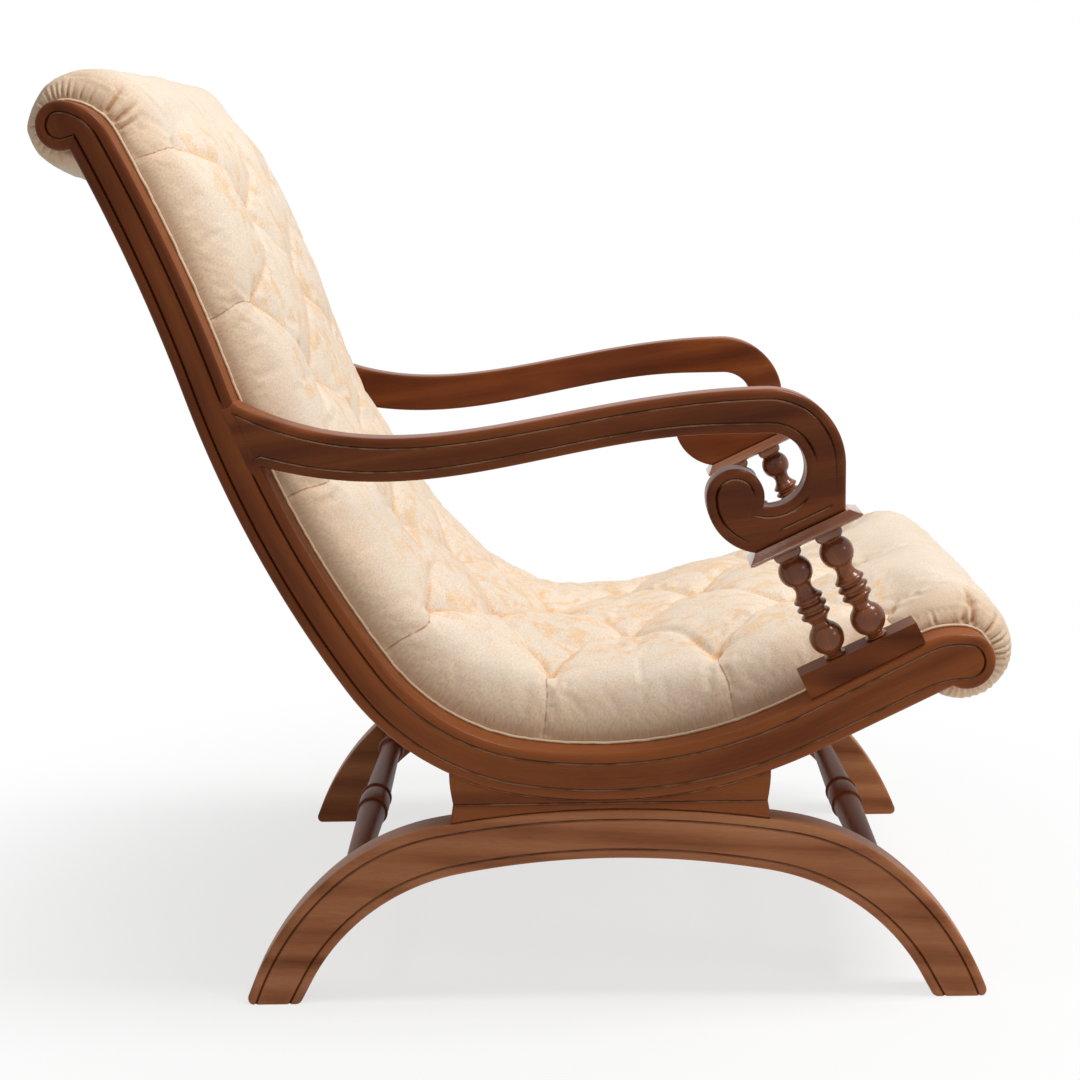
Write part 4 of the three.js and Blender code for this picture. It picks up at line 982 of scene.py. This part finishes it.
def gather_depth():
    """Pleats that run from the rim over the shoulder of both rolls."""
    pleats = [(HEAD_END + degrees, *shape) for degrees, *shape in HEAD_PLEATS]
    pleats += [(KNEE_END - degrees, *shape) for degrees, *shape in KNEE_PLEATS]
    random = np.random.default_rng(11)
    depth = np.zeros(TT.shape)
    for at, reach, deep, wide, slant in pleats:
        for side in (-1, 1):
            jitter = random.uniform(-1.6, 1.6)
            stretch = random.uniform(0.8, 1.25)
            weight = random.uniform(0.75, 1.2)
            away = TT - length_at(at) - jitter + slant * RIM
            fade = np.clip(1 - RIM / (reach * stretch), 0, 1) ** 0.7 * np.clip(RIM / 3, 0, 1)
            fade = fade * (np.sign(FX) == side)
            swelling = 0.35 * bell(np.abs(away) - 2.6 * wide, 1.2 * wide)
            depth += deep * weight * (bell(away, wide) - swelling) * fade
    return depth


tuft_near = tuft_distance(TT, FX)
wander = 1.8 * noise_field(30, 30, 21.0, 2)
fold_strength, fold_near, fold_side = fold_fields(TT + wander, FX - wander)
seam = seam_distance(TT, FX)
on_side = smoothstep(np.abs(FX), OUTER_TUFT - 2, OUTER_TUFT + 6)
within = smoothstep(TT, ROW_T[0] - 14, ROW_T[0]) * (1 - smoothstep(TT, ROW_T[-1], ROW_T[-1] + 14))
rim_ease = smoothstep(RIM, 2, 30)
CREASE_CUT, LIP_RISE, SEAM_CUT, SEAM_HOLLOW = 3.4, 1.5, 1.5, 1.1
BROAD_WAVE, FINE_WAVE, TUFT_WAVE = 1.1, 1.0, 0.9
crease = fold_strength * np.exp(-fold_near / 2.4) * (1 - on_side)
crease = np.maximum(crease, bell(tuft_near, 5.0))
lip = fold_strength * bell(fold_side - 8, 5.5) * (1 - on_side)
notch = on_side * np.clip(RIM / 4, 0, 1) * (SEAM_CUT * bell(seam, 1.9) + SEAM_HOLLOW * bell(seam, 8))
middle = smoothstep(OUTER_TUFT + 12 - np.abs(FX), 0, 30) * within
gathers = gather_depth()
detail = LIP_RISE * lip - CREASE_CUT * crease - notch - gathers
detail += BROAD_WAVE * noise_field(60, 80, 3.1) * rim_ease
detail += FINE_WAVE * noise_field(13, 30, 9.7) * middle
detail += TUFT_WAVE * np.abs(noise_field(24, 34, 14.2, 2)) * middle * bell(tuft_near - 26, 26)
SHOWN = SHOWN + OUTWARD * detail[..., None]
cushion, _ = closed_cover(
    "upholstery", SHOWN, FINE_BASE, FINE_NORMAL, FINE_RUN,
    cloth=np.stack([FX, TT, RIM], axis=2) * MM,
    stitch=np.stack([seam, on_side, crease], axis=2),
    gather=np.clip(gathers / 4, 0, 1),
    tufted=middle)

# Edge tape tacked along the rail's inner rim

TAPE_TURN, TAPE_STEP = rad(150), 2.6
TAPE_RING = [(0.4, 0.3), (0.2, 1.2), (0.6, 2.2), (1.6, 2.8), (2.8, 2.7), (3.7, 2.0), (4.0, 1.1),
             (3.9, 0.35)]


def tape_places():
    knee, head = np.linspace(TAPE_TURN, 0, 60)[:-1], np.linspace(0, TAPE_TURN, 60)[1:]
    places = [(KNEE_CURL.point(a), KNEE_CURL.normal(a)) for a in knee]
    places += [(over(s, 0), rail_at(s)[2]) for s in np.linspace(KNEE_END, HEAD_END, 520)]
    return places + [(HEAD_CURL.point(a), HEAD_CURL.normal(a)) for a in head]


places = tape_places()
points, weave = [], []
for i, (p, n) in enumerate(places):
    wave = 1.3 * noise.noise((i * 0.16, 0, 0)) + 0.9 * noise.noise((i * 0.5, 5, 0))
    for k, (x, h) in enumerate(TAPE_RING):
        free = 1.0 if h > 1 else 0.0
        flat = p + n * max(0.3, h + 0.55 * wave * free)
        points.append((RAIL_IN + 0.1 + x + 0.5 * wave * free, *flat))
        weave.append((k * 1.1 * MM, i * TAPE_STEP * MM, 0.0))
faces = skin(len(places), len(TAPE_RING), flipped=True)
for side, sign in (("left", 1), ("right", -1)):
    turned = [face[::sign] for face in faces]
    add_mesh(f"edge_tape_{side}", np.array(points) * [sign, 1, 1], turned, ALL_SMOOTH, cloth=weave)

# Stretched sheets: the webbing deck, and the cloth over the frame's underside

SHEET_HALF = 271.2
BAND, TACKING = 68, 50      # widths of a band of webbing with its gap, and between two tacks
HEM_FOLD = 13, 16


def stretched_sheet(name, place, start, end, thickness, relief):
    """A closed thin sheet between the rails from one station to another; its cut size in metres."""
    stations = np.arange(start, end, 8.0)
    across = np.linspace(-SHEET_HALF, SHEET_HALF, 69)
    middles = np.array([place(s) for s in stations])
    ups = np.array([rail_at(s)[2] for s in stations])
    run = np.concatenate([[0], np.cumsum(np.linalg.norm(np.diff(middles, axis=0), axis=1))])
    rows, columns = len(stations), len(across)
    points, weave = [], []
    for face in (0.5, -0.5):
        for r in range(rows):
            for x in across:
                flat = middles[r] + ups[r] * (face * thickness + relief(x, run[r]))
                points.append((x, *flat))
                weave.append((x * MM, run[r] * MM, 0.0))
    size = rows * columns
    faces = []
    for r in range(rows - 1):
        for c in range(columns - 1):
            a, b = r * columns + c, r * columns + c + 1
            quad = (a, b, b + columns, a + columns)
            faces += [quad[::-1], tuple(size + i for i in quad)]
    rim = (list(range(columns)) + [r * columns + columns - 1 for r in range(1, rows)]
           + [(rows - 1) * columns + c for c in range(columns - 2, -1, -1)]
           + [r * columns for r in range(rows - 2, 0, -1)])
    for a, b in zip(rim, rim[1:] + rim[:1]):
        faces.append((a, b, size + b, size + a))
    obj = add_mesh(name, points, faces, SHEET_SHARP, cloth=weave)
    welded(obj, SHEET_SHARP)
    return obj, (2 * SHEET_HALF * MM, run[-1] * MM)


def hemmed(x, at):
    """A turned hem along both sides, and the slight waves of tacked cloth."""
    side = SHEET_HALF - abs(x)
    hem = 0.7 * (1 - float(smoothstep(side, *HEM_FOLD)))
    return 0.5 * math.cos(at * 2 * math.pi / TACKING) * math.exp(-side / 26) - hem


def interlaced(x, at):
    """Bands of webbing that pass over and under each other, with gaps between them."""
    over_under = 0.45 * math.sin(x * math.pi / BAND) * math.sin(at * math.pi / BAND)
    gaps = sum(max(0.0, 1 - abs(run % BAND - BAND / 2) / 3) for run in (abs(x), at))
    return over_under - 0.35 * min(1.0, gaps)


back_sheet, back_size = stretched_sheet(
    "underside_cloth", lambda s: under(s, 4.2), -329, 829, 0.8, hemmed)
deck_sheet, deck_size = stretched_sheet(
    "webbing", lambda s: over(s, -15.5), -346, 862, 1.6, interlaced)

# Saddles between the rails and the arches, with rounded edges; painted shade along those edges darkens
# the joint

LOOP_STEP = 2.5


def side_loop(node):
    """The outline of a node's outer face in the side view, in millimetres, evenly stepped."""
    solid = frame["nodes"][node]
    mesh = solid.data
    places = np.array([solid.matrix_world @ v.co for v in mesh.vertices])
    outer_x = np.abs(places[:, 0]).max()
    edges = set()
    for face in mesh.polygons:
        ring = [tuple(np.round(places[i] / MM, 3)) for i in face.vertices]
        if all(abs(abs(p[0]) * MM - outer_x) < 1e-5 for p in ring):
            for a, b in zip(ring, ring[1:] + ring[:1]):
                if (b[1:], a[1:]) in edges:
                    edges.remove((b[1:], a[1:]))
                else:
                    edges.add((a[1:], b[1:]))
    after = dict(edges)
    loop = [min(after)]
    while len(loop) < len(after) and after[loop[-1]] != loop[0]:
        loop.append(after[loop[-1]])
    stepped = []
    for a, b in zip(loop, loop[1:] + loop[:1]):
        a, b = np.array(a), np.array(b)
        steps = max(1, int(np.linalg.norm(b - a) / LOOP_STEP))
        stepped += [a + (b - a) * k / steps for k in range(steps)]
    return np.array(stepped) - [SHIFT, 0]


# Painted shade along the saddles' rounded front edges; where those edges face up it also paints a glint.
JOINT_SHADE = 0.01
for level, radius in (("upper", 2.4), ("lower", 3.0)):
    low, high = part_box(f"{level}_saddle_left")
    section = (back_edge(low[0] / MM, radius, 6)
               + front_edge(high[0] / MM, radius, radius, 6, JOINT_SHADE))
    outline = side_loop(f"{level}_saddle_left")
    board(f"saddle_{level}", outline, section, straight_grain(degrees=0, offset=40))

# Materials

def srgb(*levels):
    return tuple(c / 255 / 12.92 if c <= 10 else ((c / 255 + 0.055) / 1.055) ** 2.4 for c in levels)


WHITE = 1.0, 1.0, 1.0
# The groove colour is painted shade, laid into the carved lines and along the saddles' rounded edges.
PORE, GROOVE_SHADE, NAP_SHADE = (0.45, 0.36, 0.32), (0.29, 0.2, 0.17), (0.72, 0.68, 0.64)
# Painted highlight colour for the upward-facing slopes of the carved lines.
PAINTED_GLINT_TONE = srgb(255, 206, 168)
FADE_RUN = 0.5, 0.12    # stations in metres between which the rail's wood gets lighter


class Nodes:
    """The nodes of a material or a world, and short calls to add to them."""

    def __init__(self, owner):
        owner.use_nodes = True
        self.data, self.tree = owner, owner.node_tree
        self.shader = self.tree.nodes.get("Principled BSDF") or self.tree.nodes["Background"]

    def join(self, value, socket):
        if isinstance(value, bpy.types.NodeSocket):
            self.tree.links.new(value, socket)
        elif isinstance(value, tuple) and len(socket.default_value) == 4:
            socket.default_value = (*value, 1)
        else:
            socket.default_value = value

    def add(self, kind, sockets, **settings):
        made = self.tree.nodes.new("ShaderNode" + kind)
        for key, value in settings.items():
            setattr(made, key, value)
        for key, value in sockets.items():
            self.join(value, made.inputs[key])
        return made

    def attribute(self, name, output="Vector"):
        return self.add("Attribute", {}, attribute_name=name).outputs[output]

    def maths(self, kind, a, b=0.0):
        return self.add("Math", {0: a, 1: b}, operation=kind).outputs[0]

    def total(self, *weighted):
        out = 0.0
        for value, weight in weighted:
            out = self.maths("ADD", out, self.maths("MULTIPLY", value, weight))
        return out

    def between(self, value, low, high):
        """0 below low and 1 above high, or the other way round where high is the lower."""
        sockets = {"Value": value, "From Min": low, "From Max": high}
        return self.add("MapRange", sockets, interpolation_type="SMOOTHSTEP").outputs["Result"]

    def ramp(self, value, *stops):
        made = self.add("ValToRGB", {0: value})
        elements = made.color_ramp.elements
        while len(elements) < len(stops):
            elements.new(0.5)
        for element, (at, colour) in zip(elements, stops):
            element.position, element.color = at, (*colour, 1)
        return made.outputs["Color"]

    def blend(self, kind, factor, a, b):
        made = self.add("Mix", {0: factor, 6: a, 7: b}, data_type="RGBA", blend_type=kind)
        return made.outputs[2]

    def scaled(self, source, scale, place=(0, 0, 0)):
        made = self.add("Mapping", {"Vector": source, "Location": place, "Scale": scale})
        return made.outputs["Vector"]

    def noise(self, source, scale, detail=3.0, roughness=0.6, distortion=0.0, place=(0, 0, 0)):
        made = self.add("TexNoise", {
            "Vector": self.scaled(source, scale, place), "Scale": 1.0, "Detail": detail,
            "Roughness": roughness, "Distortion": distortion})
        return made.outputs["Fac"]

    def bump(self, height, strength, distance):
        sockets = {"Height": height, "Strength": strength, "Distance": distance}
        return self.add("Bump", sockets).outputs["Normal"]

    def parts(self, vector):
        return self.add("SeparateXYZ", {0: vector}).outputs

    def product(self, a, b):
        return self.maths("MULTIPLY", a, b)

    def seen(self, least):
        """1 for the rays that show the background as it is, and at least the given value."""
        rays = self.add("LightPath", {}).outputs
        for kind in ("Is Camera Ray", "Is Glossy Ray", "Is Transmission Ray"):
            least = self.maths("MAXIMUM", rays[kind], least)
        return least

    def finish(self, **values):
        for key, value in values.items():
            self.join(value, self.shader.inputs[key.replace("_", " ")])
        return self.data


def new_material(name):
    return Nodes(bpy.data.materials.new(name))


def wood_material(name, dark, mid, light, rough, gloss, coat,
                  along=None, painted_glint=0.0, fade=0.0, painted_edge_light=0.0, depth=0.9):
    """Polished wood; its grain runs along the pieces' own attribute, or along an axis."""
    m = new_material(name)
    if along:
        parts = m.parts(m.add("TexCoord", {}).outputs["Object"])
        order = {"X": "XYZ", "Y": "YZX", "Z": "ZXY"}[along]
        grain = m.add("CombineXYZ", {i: parts[axis] for i, axis in enumerate(order)}).outputs[0]
    else:
        grain = m.attribute("grain")
    figure = m.noise(grain, (2.2, 24, 18), 4.0, 0.6, 0.9)
    broad = m.noise(grain, (7, 11, 9), 2.0, 0.5, 0.0, (3, 1, 0))
    streaks = m.noise(grain, (6, 230, 190), 4.0, 0.65)
    fine = m.noise(grain, (22, 760, 600), 3.0, 0.6)
    pores = m.noise(grain, (70, 1700, 1100), 3.0, 0.7)
    rings = m.add("TexWave", {
        "Vector": m.scaled(grain, (0.5, 5, 4)), "Scale": 1.6, "Distortion": 5.0, "Detail": 3.0,
        "Detail Scale": 1.3, "Detail Roughness": 0.6}, bands_direction="Y").outputs["Fac"]
    tone = m.total((figure, 0.62), (broad, 0.42), (streaks, 0.16), (fine, 0.12), (rings, 0.2),
                   (1.0, -0.26))
    if fade:
        tone = m.total((tone, 1.0), (m.between(m.parts(grain)["X"], *FADE_RUN), fade))
    colour = m.ramp(tone, (0.24, dark), (0.5, mid), (0.8, light))
    colour = m.blend("MULTIPLY", 0.3, colour, m.ramp(pores, (0.36, PORE), (0.47, WHITE)))
    surface = m.add("NewGeometry", {}).outputs
    # Partly wear and partly painted highlight: sharp convex edges turn lighter.
    wear_and_highlight = m.product(m.between(surface["Pointiness"], 0.505, 0.585), m.between(broad, 0.35, 0.6))
    colour = m.blend("MIX", m.product(wear_and_highlight, 0.55), colour, light)
    if not along:
        hollow = m.attribute("recess", "Fac")
        normal = m.parts(surface["Normal"])
        # Painted light: faces not turned to the sides, such as rims and edge faces, mix toward the light
        # tone, as where light from above falls.
        edge_face_mask = m.between(m.maths("ABSOLUTE", normal["X"]), 0.7, 0.3)
        colour = m.blend("MIX", m.product(edge_face_mask, painted_edge_light), colour, light)
        # Painted shade: darker in the carved lines and along the saddles' rounded edges, by the recess
        # attribute.
        colour = m.blend("MULTIPLY", depth, colour, m.ramp(hollow, (0, WHITE), (0.8, GROOVE_SHADE)))
        # Painted highlight: a glint on the upward-facing slopes of the carved lines, broken up by noise.
        glint_mask = m.product(m.between(hollow, 0.12, 0.5), m.between(normal["Z"], 0.4, 0.75))
        uneven = m.between(m.noise(grain, (30, 30, 30), 2.0), 0.36, 0.6)
        glint_mask = m.product(glint_mask, m.total((uneven, 0.6), (1.0, 0.4)))
        colour = m.blend("MIX", m.product(glint_mask, painted_glint), colour, PAINTED_GLINT_TONE)
    height = m.total((pores, 0.5), (streaks, 0.5), (fine, 0.3))
    return m.finish(
        Base_Color=colour, Roughness=m.total((streaks, 0.16), (broad, 0.12), (1.0, rough - 0.14)),
        Specular_IOR_Level=gloss, Coat_Weight=coat, Coat_Roughness=0.16,
        Normal=m.bump(height, 0.16, 0.0005))


def cover_material():
    """Mottled cloth with a short pile, dark seams, and painted shade near the rim, in creases and
    pleats.
    """
    m = new_material("damask_cover")
    cloth = m.attribute("cloth")
    stitch = m.parts(m.attribute("stitch"))
    seam, on_side, crease = stitch["X"], stitch["Y"], stitch["Z"]
    rim = m.parts(cloth)["Z"]
    tufted = m.attribute("tufted", "Fac")
    patches = m.noise(cloth, (34, 22, 0), 4.0, 0.62, 1.6)
    mottle = m.noise(cloth, (120, 76, 0), 4.0, 0.65, 0.8)
    soft = m.noise(cloth, (520, 420, 0), 3.0, 0.7)
    hairs = m.noise(cloth, (2300, 1900, 0), 2.0, 0.6)
    pile = m.total((soft, 0.65), (hairs, 0.35))
    warm = m.between(m.total((patches, 0.62), (mottle, 0.38)), 0.47, 0.6)
    warm = m.product(warm, m.total((tufted, 0.7), (1.0, 0.28)))
    colour = m.blend("MIX", warm, srgb(250, 234, 215), srgb(250, 216, 175))
    gap = m.product(m.between(m.maths("ABSOLUTE", seam), 1.2, 0.4), on_side)
    gap = m.product(gap, m.between(mottle, 0.3, 0.55))
    for where, share, tone in (
            # Painted shade: darker and warmer near the rim.
            (m.between(rim, 0.09, 0.0), 0.7, srgb(224, 186, 146)),
            # Painted shade: warm peach in the creases and tuft pits, for light bounced in the folds.
            (m.between(crease, 0.12, 0.8), 0.8, srgb(240, 192, 140)),
            # Painted shade: brown in the pleats at both rolls.
            (m.between(m.attribute("gather", "Fac"), 0.1, 0.9), 0.7, srgb(186, 134, 92)),
            (gap, 0.75, srgb(172, 122, 84))):
        colour = m.blend("MIX", m.product(where, share), colour, tone)
    colour = m.blend("MULTIPLY", 0.75, colour, m.ramp(pile, (0.37, NAP_SHADE), (0.57, WHITE)))
    height = m.total((pile, 0.5), (mottle, 0.35))
    return m.finish(
        Base_Color=colour, Roughness=m.total((mottle, 0.2), (1.0, 0.66)), Specular_IOR_Level=0.18,
        Sheen_Weight=0.18, Sheen_Roughness=0.45, Sheen_Tint=(1.0, 0.93, 0.85),
        Normal=m.bump(height, 0.4, 0.0011))


def woven_material(name, pale, deep, thread, depth, sheen=0.15):
    """Plain weave with threads of the given width in metres, laid along the cloth attribute."""
    m = new_material(name)
    cloth = m.attribute("cloth")
    stray = m.add("TexNoise", {"Vector": cloth, "Scale": 60.0, "Detail": 2.0}).outputs["Color"]
    wobble = m.add("VectorMath", {0: cloth, 1: m.scaled(stray, (0.0015,) * 3)}, operation="ADD")
    across = m.parts(wobble.outputs[0])
    warp = m.maths("SINE", m.product(across["X"], math.pi / thread))
    weft = m.maths("SINE", m.product(across["Y"], math.pi / thread))
    weave = m.total((m.product(warp, weft), 0.5), (1.0, 0.5))
    slubs = m.noise(cloth, (25, 700, 0), 3.0, 0.6)
    stain = m.noise(cloth, (9, 7, 9), 4.0, 0.6)
    tone = m.total((weave, 0.4), (slubs, 0.45), (stain, 0.3), (1.0, -0.1))
    colour = m.blend("MIX", tone, deep, pale)
    return m.finish(
        Base_Color=colour, Roughness=m.total((slubs, 0.2), (1.0, 0.7)), Specular_IOR_Level=0.15,
        Sheen_Weight=sheen, Normal=m.bump(m.total((weave, 0.7), (slubs, 0.4)), 0.5, depth))


FRAME_TONES = srgb(80, 34, 11), srgb(113, 56, 23), srgb(146, 80, 38)
ARCH_TONES = srgb(122, 68, 38), srgb(164, 103, 66), srgb(188, 128, 88)
TURNED_TONES = srgb(66, 26, 8), srgb(106, 50, 20), srgb(150, 84, 38)
STRETCHER_TONES = srgb(84, 34, 12), srgb(118, 57, 26), srgb(146, 80, 42)
INNER_TONES = srgb(128, 88, 56), srgb(168, 124, 84), srgb(196, 156, 112)
# The glint amounts below are painted highlights on the carved lines' upward slopes, and the edge-light
# amounts are painted light on the edge faces.
frame_wood = wood_material("frame_wood", *FRAME_TONES, 0.36, 0.1, 0.05, painted_glint=0.6, fade=0.2, painted_edge_light=0.7)
arm_wood = wood_material("arm_wood", *FRAME_TONES, 0.34, 0.1, 0.08, painted_glint=0.9, painted_edge_light=0.4)
arch_wood = wood_material("arch_wood", *ARCH_TONES, 0.42, 0.1, 0.02, painted_glint=0.3, painted_edge_light=0.3, depth=0.75)
turned_wood = wood_material("spindle_wood", *TURNED_TONES, 0.26, 0.15, 0.42)
# The cap's raised light tone, with its strong edge-light share, paints a highlight on its top bevel.
cap_wood = wood_material("cap_wood", *FRAME_TONES[:2], srgb(176, 126, 96), 0.24, 0.2, 0.9, painted_edge_light=0.7)
stretcher_wood = wood_material("stretcher_wood", *STRETCHER_TONES, 0.44, 0.1, 0.03)
block_wood = wood_material("block_wood", *FRAME_TONES, 0.4, 0.1, 0.04, along="Y")
rail_wood = wood_material("inner_wood", *INNER_TONES, 0.6, 0.2, 0, along="X")
cover_cloth = cover_material()
tape_cloth = woven_material("tape_weave", srgb(250, 232, 208), srgb(206, 168, 128), 0.0012, 0.0005)
lining_cloth = woven_material("lining_weave", srgb(226, 210, 184), srgb(196, 176, 148), 0.0007, 0.0002)
jute_cloth = woven_material("jute_weave", srgb(186, 152, 104), srgb(128, 96, 58), 0.0022, 0.0006, 0.05)


# Which piece stands for which node

def place_piece(piece, node, material):
    piece.data.materials.clear()
    piece.data.materials.append(material)
    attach(piece, "root")
    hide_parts(node)


for side in ("left", "right"):
    for name, node, slot, material in (
            ("rail", "side_rail", "polished_wood", frame_wood),
            ("arch", "leg_arch", "polished_wood", arch_wood),
            ("scroll_arm", "arm", "polished_wood", arm_wood),
            ("arm_cap", "arm_cap_moulding", "turned_wood", cap_wood),
            ("turned_spindle_front", "spindle_front", "turned_wood", turned_wood),
            ("turned_spindle_rear", "spindle_rear", "turned_wood", turned_wood),
            ("saddle_upper", "upper_saddle", "polished_wood", frame_wood),
            ("saddle_lower", "lower_saddle", "polished_wood", frame_wood),
            ("edge_tape", "edge_strip", "damask", tape_cloth)):
        place_piece(bpy.data.objects[f"{name}_{side}"], f"{node}_{side}", material)
for end in ("front", "rear"):
    place_piece(bpy.data.objects[f"turned_stretcher_{end}"], f"stretcher_{end}",
                stretcher_wood)
place_piece(cushion, "tufted_cushion", cover_cloth)
place_piece(back_sheet, "back_cloth", lining_cloth)
place_piece(deck_sheet, "webbing_deck", jute_cloth)

BLOCK_WELD, BLOCK_ROUND = 0.00002, 0.0014
for name, obj in frame["nodes"].items():
    base_block = name.startswith("spindle_base")
    if base_block:
        obj.modifiers.new("weld", "WELD").merge_threshold = BLOCK_WELD
        bevel = obj.modifiers.new("eased", "BEVEL")
        bevel.width, bevel.segments = BLOCK_ROUND, 3
        bevel.limit_method, bevel.angle_limit = "ANGLE", rad(35)
    if base_block or name.startswith(("cross_rail", "head_bar", "knee_bar", "leg_dowel")):
        for slot in obj.material_slots:
            slot.material = block_wood if base_block else rail_wood

# Camera: 64 mm lens at eye height, level with the chair's side

lens = bpy.data.cameras.new("camera")
lens.sensor_width, lens.sensor_fit, lens.lens, lens.clip_end = 36.0, "HORIZONTAL", 64.0, 50
camera = bpy.data.objects.new("camera", lens)
scene = bpy.context.scene
scene.collection.objects.link(camera)
CAMERA_AXES = Matrix([(0.01416, -0.9997, -0.01988), (0.18993, -0.01683, 0.98165),
                      (-0.98169, -0.01767, 0.18964)])
CAMERA_AT = world([(-2215.7, -40.4, 866.2)])[0]
camera.matrix_world = Matrix.Translation(CAMERA_AT) @ CAMERA_AXES.transposed().to_4x4()
scene.camera = camera

# Studio: a white room with soft lamps

FLOOR_HALF = 9.0
floor_mesh = bpy.data.meshes.new("floor")
corners = [(-FLOOR_HALF, -FLOOR_HALF, 0), (FLOOR_HALF, -FLOOR_HALF, 0),
           (FLOOR_HALF, FLOOR_HALF, 0), (-FLOOR_HALF, FLOOR_HALF, 0)]
floor_mesh.from_pydata(corners, [], [(0, 1, 2, 3)])
floor = bpy.data.objects.new("floor", floor_mesh)
scene.collection.objects.link(floor)
FLOOR_GREY, SHADOW_KEPT = 0.95, 0.3
WHITE_RUN = 0.35, 1.05    # metres from the middle over which the floor turns to plain white
m = new_material("floor_paper")
place = m.add("TexCoord", {}).outputs["Object"]
distance = m.add("VectorMath", {0: place}, operation="LENGTH").outputs["Value"]
m.finish(Base_Color=(FLOOR_GREY,) * 3, Roughness=1.0, Specular_IOR_Level=0.0)
paper = m.total((m.between(distance, *WHITE_RUN), SHADOW_KEPT), (1.0, 1 - SHADOW_KEPT))
glow = m.add("Emission", {"Color": WHITE})
shown = m.product(paper, m.seen(0.0))
mixed = m.add("MixShader", {0: shown, 1: m.shader.outputs[0], 2: glow.outputs[0]})
m.join(mixed.outputs[0], m.tree.nodes["Material Output"].inputs["Surface"])
floor_mesh.materials.append(m.data)

ROOM_LIGHT = 0.2
LIT_POINT = Vector((0, 0, 0.45))
LAMPS = [("top", (-0.3, -1.7, 3.9), 1.2, 118), ("front", (-1.8, -2.4, 1.9), 0.5, 7),
         ("rear", (-0.7, 1.2, 3.0), 0.5, 7)]
room = Nodes(bpy.data.worlds.new("studio"))
room.finish(Color=WHITE, Strength=room.seen(ROOM_LIGHT))
scene.world = room.data
for name, place, size, power in LAMPS:
    lamp = bpy.data.lights.new(name, "AREA")
    lamp.shape, lamp.size, lamp.energy = "SQUARE", size, power
    obj = bpy.data.objects.new(name, lamp)
    scene.collection.objects.link(obj)
    obj.location = place
    obj.rotation_euler = (LIT_POINT - Vector(place)).to_track_quat("-Z", "Y").to_euler()

scene.view_settings.view_transform = "Standard"
